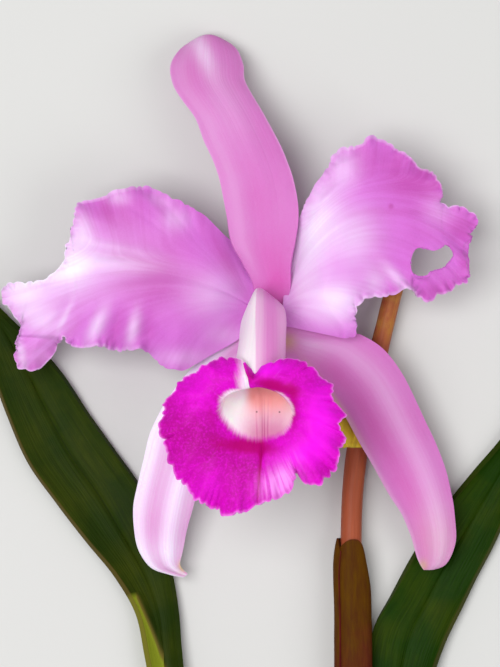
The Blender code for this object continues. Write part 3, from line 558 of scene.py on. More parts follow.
class LipSettings(bpy.types.PropertyGroup):
    """Colours and fine form of the lip."""

    blade: colour_setting("Blade", "Magenta of the blade", "D40CC0")
    bright: colour_setting("Bright", "Brighter magenta of the lit side", "EC14E4")
    dark: colour_setting("Dark", "Darker magenta of the shaded side", "AE068A")
    crimson: colour_setting("Crimson", "Crimson band round the throat and in the groove", "AE0070")
    throat: colour_setting("Throat", "Cream of the throat", "FFFAFC")
    # The peach is partly painted shade deep in the throat, under its roof.
    peach: colour_setting("Peach", "Peach pink deep in the throat", "F0A29C")
    blush: colour_setting("Blush", "Pink towards the throat's lower edge", "D086AC")
    # The rim's lighter pink also paints the highlight on the blade beside the notch.
    rim: colour_setting("Rim", "Lighter pink of the frilled rim", "F290EC")
    hood_left: colour_setting("Hood left", "Cream of the hood's left side", "F0E4EC")
    hood_right: colour_setting("Hood right", "Pink of the hood's right side", "E488D0")
    frill: length_setting("Frill", "Height of the small frills on the lip's margin", 0.9)
    groove: length_setting("Groove", "Depth of the groove down the middle of the lip", 0.9)


class GreenSettings(bpy.types.PropertyGroup):
    """Colours of the stem, sheath, leaves and pseudobulb."""

    stem: colour_setting("Stem", "Orange brown of the stem", "96602A")
    stem_red: colour_setting("Stem red", "Reddish skin above the sheath", "A25032")
    stem_yellow: colour_setting("Stem yellow", "Yellow green of the swollen foot of the flower stalk", "F6E040")
    sheath: colour_setting("Sheath", "Olive brown of the papery sheath", "563600")
    sheath_edge: colour_setting("Sheath edge", "Dark red line along the sheath's free edge", "5E1A1A")
    leaf: colour_setting("Leaf", "Dark green of the leaves", "223208")
    leaf_young: colour_setting("Young leaf", "Fresher green of the right leaf", "183400")
    leaf_base: colour_setting("Leaf base", "Yellow green of the channelled leaf base", "8E8A18")
    leaf_margin: colour_setting("Leaf margin", "Thin brownish line along the leaf's margin", "604E24")
    leaf_under: colour_setting("Leaf underside", "Pale green underside beside the folded margin", "7C8620")
    pseudobulb: colour_setting("Pseudobulb", "Green of the pseudobulb", "6B7D33")
    cut: colour_setting("Cut", "Pale moist tissue where the stem and pseudobulb are cut", "D9D8A4")


class StageSettings(bpy.types.PropertyGroup):
    """The floor and the studio light."""

    floor: colour_setting("Floor", "Pale paper that the bloom lies on", "CECECC")
    key: bpy.props.FloatProperty(name="Key", description="Power of the soft key light", unit="POWER", default=18.0)
    fill: bpy.props.FloatProperty(name="Fill", description="Power of the fill light", unit="POWER", default=8.0)
    air: bpy.props.FloatProperty(name="Air", description="Strength of the light from all round", default=0.4)


def tepal_material(name, base, deep, settings, vein_sets, contrast, roughness):
    """Petal and sepal tissue: thin, translucent and satin, with a pearly sheen from its domed cells.

    The veins follow the attribute fan: x spreads them from the base to the margin, y runs along the blade.
    """
    material, shader, add = new_material(name)
    fan = add("Attribute", output="Vector", attribute_name="fan")
    split = add("SeparateXYZ", {"Vector": fan}, output="Y")
    # Veins branch towards the tip: three sets, each finer than the last. Real veins are 0.4 mm apart near the
    # base, and the finest set is drawn about twice as coarse as that so that it shows.
    streaks = [stretched_noise(add, fan, scale, 2.0, 0.45) for scale in vein_sets]
    first = add("MapRange", {"Value": split, "From Min": 0.1, "From Max": 0.5}, clamp=True)
    near = add("Mix", {"Factor": first, "A": streaks[0], "B": streaks[1]})
    second = add("MapRange", {"Value": split, "From Min": 0.4, "From Max": 0.95}, clamp=True)
    veins = add("Mix", {"Factor": second, "A": near, "B": streaks[2]})
    lines = add("MapRange", {"Value": veins, "From Min": 0.34, "From Max": 0.66}, interpolation_type="SMOOTHSTEP")
    place = add("TexCoord", output="Object")
    # Domed cells are about 0.05 mm wide. They are drawn at 0.5 mm, the finest that shows.
    cells = add("TexNoise", {"Vector": place, "Scale": 2000.0, "Detail": 1.0})
    clouds = add("TexNoise", {"Vector": place, "Scale": 90.0, "Detail": 3.0})
    deepness = add("Attribute", output="Fac", attribute_name="deep")
    paleness = add("Attribute", output="Fac", attribute_name="pale")
    # The veins show more towards the margin.
    vein_depth = add(
        "MapRange", {"Value": split, "From Min": 0.2, "From Max": 0.8, "To Min": 0.2 * contrast, "To Max": contrast}
    )
    vein_tint = add("Math", {0: lines, 1: vein_depth}, operation="MULTIPLY")
    cloud_tint = add(
        "MapRange", {"Value": clouds, "From Min": 0.35, "From Max": 0.7, "To Min": -0.08, "To Max": 0.12}
    )
    uneven = add("Math", {0: vein_tint, 1: cloud_tint}, operation="ADD")
    # The cells' grain in the colour is partly their own uneven tone and partly a painted sparkle.
    grain_and_sparkle = add("MapRange", {"Value": cells, "From Min": 0.3, "From Max": 0.7, "To Min": -0.07, "To Max": 0.07})
    uneven = add("Math", {0: uneven, 1: grain_and_sparkle}, operation="ADD")
    tint = add("Math", {0: uneven, 1: deepness}, operation="ADD", use_clamp=True)
    colour = add("Mix", {"Factor": tint, 6: base, 7: deep}, data_type="RGBA")
    whitened = add("Math", {0: lines, 1: -0.15, 2: 1.0}, operation="MULTIPLY_ADD")
    white = add("Math", {0: paleness, 1: whitened}, operation="MULTIPLY", use_clamp=True)
    skin = add("Mix", {"Factor": white, 6: colour, 7: settings.pale}, data_type="RGBA")
    ripeness = add("Attribute", output="Fac", attribute_name="ripe")
    skin = add("Mix", {"Factor": ripeness, 6: skin, 7: settings.ripe}, data_type="RGBA")
    relief = add("Math", {0: cells, 1: 0.25, 2: veins}, operation="MULTIPLY_ADD")
    bump = add("Bump", {"Height": relief, "Strength": 0.8, "Distance": settings.vein_relief})
    gloss = add("MapRange", {"Value": cells, "To Min": roughness - 0.08, "To Max": roughness + 0.08})
    set_inputs(shader, {
        "Base Color": skin, "Normal": bump, "Roughness": gloss, "IOR": 1.42, "Specular IOR Level": 0.25,
        "Sheen Weight": 0.08, "Sheen Roughness": 0.4, "Subsurface Weight": 0.3, "Subsurface Radius": (1.0, 0.45, 0.9),
        "Subsurface Scale": 1.2 * MM,
    })
    return material


# The red guide lines on the throat's floor: place across it and strength.
GUIDE_LINES = ((0.26, 0.4), (0.46, 0.6), (0.56, 0.65), (0.69, 0.5))
THROAT_DOTS = (-3.9, 3.6)
THROAT_DOTS_Y = -31.0


def lip_material(settings):
    """The lip's velvety inner side: magenta blade, cream throat with fine red lines, crimson groove.

    Velvety because its cells stand up as small cones, which catch light at grazing angles.
    """
    material, shader, add = new_material("lip_tissue_velvet")
    place = add("TexCoord", output="Object")
    around = add("Attribute", output="Vector", attribute_name="around")
    # Veins run from the throat out to the margin, about 1 mm apart, and wander a little.
    veins = stretched_noise(add, around, (44.0, 3.0), 3.0, 0.55)
    fine = stretched_noise(add, around, (190.0, 4.0), 2.0)
    # Velvet is mottled in spots about 1.5 mm across.
    mottle = add("TexNoise", {"Vector": place, "Scale": 650.0, "Detail": 3.0})
    clouds = add("TexNoise", {"Vector": place, "Scale": 240.0, "Detail": 4.0})
    broken = add("Mix", {"Factor": 0.55, "A": veins, "B": mottle})
    streaks = add("Mix", {"Factor": 0.5, "A": veins, "B": fine})

    def painted(under, attribute, colour, unevenness, hardness, edge=broken):
        """Lays a colour over another where the attribute is high, with an edge broken up by the veins."""
        mark = add("Attribute", output="Fac", attribute_name=attribute)
        shifted = add("Math", {0: edge, 1: unevenness, 2: mark}, operation="MULTIPLY_ADD")
        middle = 0.5 + 0.5 * unevenness
        share = add(
            "MapRange",
            {"Value": shifted, "From Min": middle - hardness, "From Max": middle + hardness},
            interpolation_type="SMOOTHSTEP",
        )
        return add("Mix", {"Factor": share, 6: under, 7: colour}, data_type="RGBA")

    streaked = add(
        "MapRange",
        {"Value": broken, "From Min": 0.4, "From Max": 0.62, "To Max": 0.35},
        interpolation_type="SMOOTHSTEP",
    )
    blade = add("Mix", {"Factor": streaked, 6: settings.blade, 7: settings.dark}, data_type="RGBA")
    clouded = add("MapRange", {"Value": clouds, "From Min": 0.42, "From Max": 0.66, "To Max": 0.4})
    blade = add("Mix", {"Factor": clouded, 6: blade, 7: settings.dark}, data_type="RGBA")
    # Painted shade on the shaded side and below the throat, partly the blade's own deeper magenta.
    skin = painted(blade, "dark", settings.dark, 0.5, 0.45)
    # Painted glints: single cells drawn as grains of the brighter magenta, about 0.8 mm across.
    grains = add("TexNoise", {"Vector": place, "Scale": 1250.0, "Detail": 2.0})
    painted_glint = add("MapRange", {"Value": grains, "From Min": 0.46, "From Max": 0.74, "To Max": 0.45})
    skin = add("Mix", {"Factor": painted_glint, 6: skin, 7: settings.bright}, data_type="RGBA")
    skin = painted(skin, "crimson", settings.crimson, 0.4, 0.4)
    # Painted light on the blade's lit side.
    skin = painted(skin, "bright", settings.bright, 0.5, 0.5)
    # A painted highlight: the rim's lighter pink laid in streaks where the shine falls beside the notch.
    speckled = add(
        "MapRange",
        {"Value": streaks, "From Min": 0.34, "From Max": 0.6, "To Min": 0.25},
        interpolation_type="SMOOTHSTEP",
    )
    patch = add("Attribute", output="Fac", attribute_name="patch")
    shine_share = add("Math", {0: speckled, 1: patch}, operation="MULTIPLY", use_clamp=True)
    skin = add("Mix", {"Factor": shine_share, 6: skin, 7: settings.rim}, data_type="RGBA")
    skin = painted(skin, "rim", settings.rim, 0.5, 0.45)

    # The throat is cream at its left, peach deep inside, where the peach is partly painted shade under the roof, and
    # pink towards its lower edge.
    cream = painted(settings.throat, "peach", settings.peach, 0.1, 0.5)
    cream = painted(cream, "blush", settings.blush, 0.1, 0.5)
    lines = add("Attribute", output="Vector", attribute_name="lines")
    line_x = add("SeparateXYZ", {"Vector": lines})
    line_strength = line_x.node.outputs["Y"]
    # Four red guide lines, 0.4 mm wide, at their places across the throat's floor.
    marked = add("ValToRGB", {"Fac": line_x})
    elements = marked.node.color_ramp.elements
    while len(elements) < 3 * len(GUIDE_LINES):
        elements.new(1.0)
    stops = [(x + step, grey) for x, red in GUIDE_LINES for step, grey in ((-0.045, 0.0), (0.0, red), (0.045, 0.0))]
    for element, (position, grey) in zip(elements, stops):
        element.position = position
        element.color = (grey, grey, grey, 1.0)
    faded = add("Math", {0: marked, 1: line_strength}, operation="MULTIPLY", use_clamp=True)
    cream = add("Mix", {"Factor": faded, 6: cream, 7: settings.crimson}, data_type="RGBA")
    # Two tiny dark dots lie side by side on the throat's floor.
    flat = add("VectorMath", {0: place, 1: (1.0, 1.0, 0.0)}, operation="MULTIPLY")
    for x in THROAT_DOTS:
        dot = Vector((x, THROAT_DOTS_Y, 0.0)) + BLOOM_AT
        away = add("VectorMath", {0: flat, 1: (dot.x * MM, dot.y * MM, 0.0)}, operation="DISTANCE")
        inside = add("MapRange", {"Value": away, "From Min": 0.42 * MM, "From Max": 0.1 * MM, "To Max": 0.85})
        cream = add("Mix", {"Factor": inside, 6: cream, 7: linear("5A1E34")}, data_type="RGBA")
    skin = painted(skin, "throat", cream, 0.6, 0.42, streaks)

    relief = add("Math", {0: fine, 1: 0.35, 2: broken}, operation="MULTIPLY_ADD")
    bump = add("Bump", {"Height": relief, "Strength": 0.7, "Distance": 0.2 * MM})
    gloss = add("MapRange", {"Value": mottle, "To Min": 0.42, "To Max": 0.62})
    # The thin throat lets light through from behind.
    hollow = add("Attribute", output="Fac", attribute_name="throat")
    glow = add("MapRange", {"Value": hollow, "To Min": 0.2, "To Max": 0.8})
    set_inputs(shader, {
        "Base Color": skin, "Normal": bump, "Roughness": gloss, "IOR": 1.42, "Specular IOR Level": 0.1,
        "Sheen Weight": 0.04, "Sheen Roughness": 0.4, "Sheen Tint": (1.0, 0.25, 0.9, 1.0), "Subsurface Weight": glow,
        "Subsurface Radius": (1.0, 0.5, 0.8), "Subsurface Scale": 1.5 * MM,
    })
    return material


def hood_material(settings):
    """The lip's outer side: waxy and pale over the hood, turning magenta under the blade."""
    material, shader, add = new_material("lip_outer_skin_waxy")
    around = add("Attribute", output="Vector", attribute_name="around")
    veins = stretched_noise(add, around, (40.0, 2.0), 2.0)
    side = add("Attribute", output="Fac", attribute_name="right_side")
    wander = add("Math", {0: veins, 1: 0.3, 2: side}, operation="MULTIPLY_ADD")
    share = add("MapRange", {"Value": wander, "From Min": 0.15, "From Max": 1.15})
    hood = add("Mix", {"Factor": share, 6: settings.hood_left, 7: settings.hood_right}, data_type="RGBA")
    # A painted highlight lightens the hood's right edge.
    lit_edge = add("Attribute", output="Fac", attribute_name="right_edge")
    highlit_share = add("Math", {0: lit_edge, 1: 0.2}, operation="MULTIPLY", use_clamp=True)
    hood = add("Mix", {"Factor": highlit_share, 6: hood, 7: settings.hood_left}, data_type="RGBA")
    blade = add("Attribute", output="Fac", attribute_name="blade")
    skin = add("Mix", {"Factor": blade, 6: hood, 7: settings.blade}, data_type="RGBA")
    bump = add("Bump", {"Height": veins, "Strength": 0.5, "Distance": 0.3 * MM})
    set_inputs(shader, {
        "Base Color": skin, "Normal": bump, "Roughness": 0.42, "IOR": 1.42, "Specular IOR Level": 0.35,
        "Subsurface Weight": 0.3, "Subsurface Radius": (1.0, 0.5, 0.8), "Subsurface Scale": 1.0 * MM,
    })
    return material


def stalk_material(name, ends, streak=0.35, roughness=0.42, specular=0.2):
    """Smooth green-plant skin with fine lengthwise streaks. ends are the colours of its two zones."""
    material, shader, add = new_material(name)
    skin_place = add("UVMap", uv_map="UVMap")
    # Fibres run lengthwise about 0.5 mm apart, drawn as long stretched streaks.
    fibres = stretched_noise(add, skin_place, (7.0, 26.0), 4.0, 0.6)
    place = add("TexCoord", output="Object")
    blotches = add("TexNoise", {"Vector": place, "Scale": 260.0, "Detail": 3.0})
    zone = add("Attribute", output="Fac", attribute_name="zone")
    shifted = add("Math", {0: blotches, 1: 0.4, 2: zone}, operation="MULTIPLY_ADD")
    share = add("MapRange", {"Value": shifted, "From Min": 0.3, "From Max": 1.1}, interpolation_type="SMOOTHSTEP")
    skin = add("Mix", {"Factor": share, 6: ends[0], 7: ends[1]}, data_type="RGBA")
    shade = add("MapRange", {"Value": fibres, "From Min": 0.3, "From Max": 0.75, "To Max": streak})
    darker = tuple(0.4 * channel for channel in ends[1][:3]) + (1.0,)
    streaked = add("Mix", {"Factor": shade, 6: skin, 7: darker}, data_type="RGBA")
    bump = add("Bump", {"Height": fibres, "Strength": 0.6, "Distance": 0.25 * MM})
    gloss = add("MapRange", {"Value": blotches, "To Min": roughness - 0.08, "To Max": roughness + 0.12})
    set_inputs(shader, {
        "Base Color": streaked, "Normal": bump, "Roughness": gloss, "IOR": 1.45, "Specular IOR Level": specular,
        "Subsurface Weight": 0.1, "Subsurface Radius": (0.8, 0.5, 0.2), "Subsurface Scale": 1.0 * MM,
    })
    return material


def cut_material(settings):
    """Freshly cut stem: moist pale tissue with the darker dots of its vessels."""
    material, shader, add = new_material("cut_stem_tissue")
    place = add("TexCoord", output="Object")
    # Vessels are about 0.6 mm apart.
    vessels = add("TexVoronoi", {"Vector": place, "Scale": 1500.0})
    dots = add("MapRange", {"Value": vessels, "From Min": 0.15, "From Max": 0.35})
    skin = add("Mix", {"Factor": dots, 6: linear("A9A060"), 7: settings.cut}, data_type="RGBA")
    bump = add("Bump", {"Height": vessels, "Strength": 0.4, "Distance": 0.2 * MM})
    set_inputs(shader, {
        "Base Color": skin, "Normal": bump, "Roughness": 0.3, "IOR": 1.38, "Subsurface Weight": 0.2,
        "Subsurface Scale": 1.0 * MM,
    })
    return material


def leaf_material(name, colour, settings):
    """Leathery leaf: waxy cuticle over fine parallel veins, dark along its keel and yellow at its base."""
    material, shader, add = new_material(name)
    fan = add("Attribute", output="Vector", attribute_name="fan")
    # Parallel veins, about 0.8 mm apart.
    veins = stretched_noise(add, fan, (22.0, 3.0), 3.0)
    place = add("TexCoord", output="Object")
    blotches = add("TexNoise", {"Vector": place, "Scale": 60.0, "Detail": 4.0})
    lighter = add("MapRange", {"Value": blotches, "From Min": 0.4, "From Max": 0.75, "To Max": 0.09})
    skin = add("Mix", {"Factor": lighter, 6: colour, 7: settings.leaf_base}, data_type="RGBA")
    lined = add("MapRange", {"Value": veins, "From Min": 0.35, "From Max": 0.7, "To Max": 0.4})
    darker = tuple(0.4 * channel for channel in colour[:3]) + (1.0,)
    skin = add("Mix", {"Factor": lined, 6: skin, 7: darker}, data_type="RGBA")
    for attribute, tint in (
        ("keel", darker),
        ("base", settings.leaf_base),
        ("under", settings.leaf_under),
        ("margin", settings.leaf_margin),
    ):
        mark = add("Attribute", output="Fac", attribute_name=attribute)
        skin = add("Mix", {"Factor": mark, 6: skin, 7: tint}, data_type="RGBA")
    bump = add("Bump", {"Height": veins, "Strength": 0.5, "Distance": 0.35 * MM})
    gloss = add("MapRange", {"Value": blotches, "To Min": 0.4, "To Max": 0.58})
    set_inputs(shader, {
        "Base Color": skin, "Normal": bump, "Roughness": gloss, "IOR": 1.48, "Specular IOR Level": 0.05,
    })
    return material


def floor_material(settings):
    """Matte studio paper with a very faint tooth."""
    material, shader, add = new_material("studio_paper")
    place = add("TexCoord", output="Object")
    tooth = add("TexNoise", {"Vector": place, "Scale": 900.0, "Detail": 2.0})
    bump = add("Bump", {"Height": tooth, "Strength": 0.1, "Distance": 0.1 * MM})
    set_inputs(shader, {"Base Color": settings.floor, "Normal": bump, "Roughness": 0.9})
    return material


def margin_lengths(points, steps=240):
    """How far along a margin each even step of its curve lies, in millimetres."""
    lengths = [0.0]
    before = spline(points, 0.0)
    for step in range(1, steps + 1):
        place = spline(points, step / steps)
        lengths.append(lengths[-1] + (place - before).length)
        before = place
    return lengths


def margins(ribs):
    """The places of both margins of a blade."""
    return [[Vector((rib[end], rib[end + 1], rib[end + 4])) for rib in ribs] for end in (0, 2)]


def blade_rows(ribs):
    """A function from a share along a blade to its margins, its middle's height and the margins' lengths."""
    firsts, others = margins(ribs)
    middles = [rib[5] for rib in ribs]
    first_lengths, other_lengths = margin_lengths(firsts), margin_lengths(others)

    @lru_cache(maxsize=None)
    def row(along):
        return (
            spline(firsts, along),
            spline(others, along),
            spline(middles, along),
            spline(first_lengths, along),
            spline(other_lengths, along),
        )

    return row


def turned_edge(edges, x, y):
    """How far a place is lowered beyond turned edges: middle, half length, turn in degrees and drop."""
    total = 0.0
    for middle_x, middle_y, half_length, turn, drop in edges:
        angle = math.radians(turn)
        dx, dy = x - middle_x, y - middle_y
        along = abs(dx * math.cos(angle) + dy * math.sin(angle))
        aside = dy * math.cos(angle) - dx * math.sin(angle)
        total += drop * ramp(aside, 0.2, -1.0) * ramp(aside, -9.0, -4.0) * ramp(along, half_length, half_length - 2.5)
    return total


def margin_samples(ribs, steps=480):
    """Both margins of a blade as arrays: x, y, height, length run along the margin and the way out."""
    lines = [[spline(points, step / steps) for step in range(steps + 1)] for points in margins(ribs)]
    samples = []
    for end, start in ((0, 0.0), (1, 90.0)):
        run = start
        for step, place in enumerate(lines[end]):
            ahead = lines[end][min(step + 1, steps)] - lines[end][max(step - 1, 0)]
            run += ahead.length / 2
            out = Vector((ahead.y, -ahead.x)).normalized()
            if out.dot((place - lines[1 - end][step]).to_2d()) < 0:
                out = -out
            samples.append((*place, run, *out))
    return numpy.array(samples).T


def fan_place(fan, point):
    """Where a place lies in a petal's fan of veins: its turn from the midrib and how far out it is."""
    side, midrib, _, _ = fan
    dx, dy = side * point.x - FAN_BASE.x, point.y - FAN_BASE.y
    distance = math.hypot(dx, dy)
    turn = math.atan2(dy, dx) - math.radians(spline(midrib, distance / FAN_REACH))
    return turn / (1.0 + distance / FAN_OPENING), distance / FAN_REACH


def vein_place(fan, point):
    """Where a place lies among a petal's veins, which above the midrib bend outwards to the margin."""
    turn, far = fan_place(fan, point)
    side, _, root, start = fan
    upright = math.atan2(root.x - side * point.x, point.y - root.y)
    bend = ramp(turn, 0.0, 0.07) * ramp(far, 0.25, 0.5)
    return turn + (VEIN_SPREAD * upright + start - turn) * bend, far


def petal_place(ribs, seed, settings, fan, folds, edges):
    """A broad petal: the ribs' blade with waves and scallops along its margins and soft folds across it."""
    row = blade_rows(ribs)
    xs, ys, heights, runs, outs_x, outs_y = margin_samples(ribs)
    ruffle, scallop = settings.ruffle / MM, settings.scallop / MM

    def place(along, across):
        first, other, middle, _, _ = row(along)
        point = first.lerp(other, across)
        # The margins shape what is near them, each place by how near it is.
        squares = (xs - point.x) ** 2 + (ys - point.y) ** 2
        pulls = (squares + 0.5) ** -2
        nearest = squares.argmin()
        gap, run = math.sqrt(squares[nearest]), runs[nearest]
        outward = Vector((outs_x[nearest], outs_y[nearest], 0.0))
        height = float((pulls * heights).sum() / pulls.sum())
        point.z = middle + (height - middle) * max(0.0, 1.0 - gap / MARGIN_BELT) ** 2
        turn, far = fan_place(fan, point)
        rim = ramp(gap, 15.0, 0.0)
        fringe = ramp(gap, 4.0, 0.0)
        free = ramp(along, 0.12, 0.3)
        # Further out the waves follow the fan of veins, and fine pleats run with them.
        near = ripple(point.x / 6.5, point.y / 6.5, seed)
        wave = near + (ripple(turn * 24.0, far * 5.0, seed) - near) * ramp(far, 0.3, 0.55)
        pleat = ripple(turn * 70.0, far * 6.0, seed + 50.0) * ramp(gap, 20.0, 2.0) * ramp(far, 0.25, 0.5)
        curl = math.sin(2 * math.pi * run / CURL_SPACING + 6.0 * ripple(run / 12.0, seed + 5.0))
        point.z += ruffle * free * (2.2 * rim * rim * wave + 0.35 * pleat)
        point.z += ruffle * free * 0.5 * fringe * (curl + 1.5 * ripple(run / 2.0, seed + 2.0))
        lobes = abs(math.sin(math.pi * run / PETAL_LOBE + 5.0 * ripple(run / 9.0, seed + 9.0))) - 0.62
        lobes *= 0.7 + ripple(run / 13.0, seed + 6.0)
        point += outward * (scallop * free * fringe * (lobes * 1.5 + 1.6 * ripple(run / 5.0, seed + 3.0)))
        # Low folds fan out from the base.
        point.z += 0.8 * ramp(far, 0.1, 0.4) * ripple(turn * 9.0, far * 2.5, seed + 20.0) * (1.0 - 0.5 * fringe)
        point.z -= 0.45 * bell(turn, 0.035) * ramp(far, 0.8, 0.5)
        point.z += spots(folds, point.x, point.y) - turned_edge(edges, point.x, point.y)
        return point

    return place


def sepal_place(ribs, seed, ridges, crown):
    """A narrow, firm sepal: the ribs' blade with lengthwise ridges at (share across, half width, height)."""
    row = blade_rows(ribs)

    def place(along, across):
        first, other, middle, first_run, other_run = row(along)
        side = 2 * across - 1
        edge, run = (other, other_run + 60.0) if side > 0 else (first, first_run)
        centre = first.lerp(other, 0.5)
        outward = Vector((edge.x - centre.x, edge.y - centre.y, 0.0)).normalized()
        point = first.lerp(other, across)
        point.z = middle + (edge.z - middle) * side * side
        fade = ramp(along, 0.0, 0.15) * ramp(along, 1.0, 0.86)
        for middle_side, half_width, height in ridges:
            point.z += height * fade * bell(side - middle_side, half_width)
        fringe = ramp(abs(side), 0.7, 1.0)
        point.z += 0.35 * fringe * fade * ripple(run / 7.0, seed)
        point += outward * (0.3 * fringe * fade * ripple(run / 9.0, seed + 4.0))
        point.z += 0.35 * fade * ripple(side * 2.5, along * 4.0, seed + 8.0)
        # The tip is rounded off by this much.
        point += crown * (1.0 - side * side) * ramp(along, 0.72, 0.88)
        return point

    return place


def tepal_marks(pale_spots, deep_spots, fan=None, pale_edge=0.0, bands=(), ripe_spots=()):
    """The attributes of a petal or sepal: its fan of veins and how pale, deep or greenish each place is."""

    def marks(along, across, point):
        side = 2 * across - 1
        edge = ramp(abs(side), 0.94, 1.0) * ramp(along, 0.25, 0.4)
        pale = spots(pale_spots, point.x, point.y) + pale_edge * edge
        deep = spots(deep_spots, point.x, point.y)
        # Lengthwise bands. Pale ones are mostly painted highlights along lit ridges and edges, deep ones painted
        # shade in channels and on sides turned from the lamp.
        for middle_side, half_width, paleness in bands:
            share = bell(side - middle_side, half_width) * ramp(along, 0.04, 0.2)
            pale += max(paleness, 0.0) * share
            deep += max(-paleness, 0.0) * share
        return {
            "fan": (*vein_place(fan, point), side) if fan else (side * (1.0 - 0.35 * along), along, side),
            "pale": min(max(pale, 0.0), 1.0),
            "deep": min(max(deep, -0.4), 1.0),
            "ripe": min(spots(ripe_spots, point.x, point.y), 1.0),
        }

    return marks


def cut_hole(obj, outline):
    """Eats a hole out of a sheet: the faces inside the outline go, and its edge is drawn to the outline."""
    loop = [(Vector((x, y, 0.0)) + BLOOM_AT) * MM for x, y in outline]
    count = 8 * len(loop)
    closed = loop[-1:] + loop + loop[:2]
    smooth = []
    for step in range(count):
        i, f = divmod(step * len(loop) / count, 1.0)
        i = int(i)
        before, start, end, after = closed[i], closed[i + 1], closed[i + 2], closed[(i + 3) % len(closed)]
        smooth.append(spline([before, start, end, after], (1.0 + f) / 3.0).to_2d())

    def inside(x, y):
        odd = False
        for (x1, y1), (x2, y2) in zip(smooth, smooth[1:] + smooth[:1]):
            if (y1 > y) != (y2 > y) and x < (x2 - x1) * (y - y1) / (y2 - y1) + x1:
                odd = not odd
        return odd

    bm = bmesh.new()
    bm.from_mesh(obj.data)
    hidden = {vert for vert in bm.verts if inside(vert.co.x, vert.co.y)}
    bmesh.ops.delete(bm, geom=[face for face in bm.faces if all(v in hidden for v in face.verts)], context="FACES")
    for vert in bm.verts:
        if vert in hidden:
            near = min(smooth, key=lambda place: (place - vert.co.to_2d()).length)
            vert.co.x, vert.co.y = near
    bm.to_mesh(obj.data)
    bm.free()


def dress_petals(settings):
    skin = tepal_material("petal_tissue_satin", settings.base, settings.deep, settings, PETAL_VEINS, 0.36, 0.5)
    pieces = (
        (
            "petal_left",
            petal_place(PETAL_LEFT_RIBS, 1.0, settings, FAN_LEFT, PETAL_LEFT_FOLDS, PETAL_LEFT_EDGES),
            tepal_marks(PETAL_LEFT_PALE, PETAL_LEFT_DEEP, FAN_LEFT, pale_edge=0.35),
        ),
        (
            "petal_right",
            petal_place(PETAL_RIGHT_RIBS, 31.0, settings, FAN_RIGHT, PETAL_RIGHT_FOLDS, PETAL_RIGHT_EDGES),
            tepal_marks(PETAL_RIGHT_PALE, PETAL_RIGHT_DEEP, FAN_RIGHT, pale_edge=0.35),
        ),
    )
    for node, place, marks in pieces:
        obj = add_grid("bloom_" + node, *PETAL_GRID, place, marks)
        if node == "petal_right":
            cut_hole(obj, BITE_OUTLINE)
        turn_faces_up(obj)
        give_thickness(obj, PETAL_THICKNESS, [skin])
        finish_piece(obj, [node])


def dress_sepals(settings):
    skin = tepal_material("sepal_tissue_waxy", settings.sepal, settings.sepal_deep, settings, SEPAL_VEINS, 0.16, 0.62)
    # The bands are mostly painted highlights along the sepals' ridges and lit edges, and painted shade in their
    # channels.
    pieces = (
        (
            "dorsal_sepal",
            DORSAL_SEPAL_RIBS,
            51,
            ((0, 0.4, -0.3),),
            Vector((-0.3, 2.0, 0.0)),
            tepal_marks(DORSAL_PALE, DORSAL_DEEP, pale_edge=0.2, bands=((-0.7, 0.3, 0.12),)),
        ),
        (
            "lateral_sepal_left",
            SEPAL_LEFT_RIBS,
            61,
            ((0.3, 0.35, 0.6), (-0.3, 0.35, -0.4)),
            Vector((0.0, 0.0, 0.0)),
            tepal_marks(
                SEPAL_LEFT_PALE,
                (),
                bands=((-0.95, 0.45, 0.7), (0.35, 0.34, 0.5), (-0.3, 0.25, -0.15), (0.95, 0.2, -0.15)),
                ripe_spots=SEPAL_LEFT_RIPE,
            ),
        ),
        (
            "lateral_sepal_right",
            SEPAL_RIGHT_RIBS,
            71,
            ((0.28, 0.35, 0.4), (-0.3, 0.35, -0.2)),
            Vector((0.0, 0.0, 0.0)),
            tepal_marks(
                SEPAL_RIGHT_PALE,
                SEPAL_RIGHT_DEEP,
                bands=((0.3, 0.34, 0.2), (-0.97, 0.1, 0.2), (-0.45, 0.36, -0.35)),
                ripe_spots=SEPAL_RIGHT_RIPE,
            ),
        ),
    )
    for node, ribs, seed, ridges, crown, marks in pieces:
        obj = add_grid("bloom_" + node, *SEPAL_GRID, sepal_place(ribs, seed, ridges, crown), marks)
        turn_faces_up(obj)
        give_thickness(obj, SEPAL_THICKNESS, [skin])
        finish_piece(obj, [node])


def ring_point(ring, turn):
    """A place on one ring of the lip's tube. The turn is counted from its top by the left, in radians."""
    (x, y, z), half_width, half_depth, tilt, pinch = ring
    tilt = math.radians(tilt)
    seam = math.radians(LIP_SEAM)
    point = Vector((-math.sin(turn) * half_width, math.cos(turn) * half_depth))
    ridge = Vector((-math.sin(seam), math.cos(seam)))
    near = max(0.0, math.cos(turn - seam))
    out = point.dot(ridge)
    aside = point - ridge * out
    point = ridge * (out + LIP_RIDGE_HEIGHT * pinch * near**3) + aside * (1.0 - pinch * near)
    return Vector((x + point.x, y + point.y * math.cos(tilt), z + point.y * math.sin(tilt)))


LIP_MARGIN_POINTS = [Vector(point) for point in LIP_MARGIN]
LIP_MARGIN_LENGTHS = margin_lengths(LIP_MARGIN_POINTS, 480)


def lip_margin_point(across):
    """A place on the lip's margin, before it is frilled."""
    point = spline(LIP_MARGIN_POINTS, across)
    # At the notch the left lobe's pale edge passes under the right lobe's tip.
    point += LIP_LEFT_END * ramp(across, 0.035, 0.0) + LIP_RIGHT_END * ramp(across, 0.984, 1.0)
    # A narrow notch parts that tip from the rest of the right lobe.
    point += LIP_TIP_NOTCH * bell(across - 0.983, 0.011)
    height = point.z
    point = VIEW_MIDDLE + (point - VIEW_MIDDLE) * LIP_NEARNESS
    point.z = height
    return point


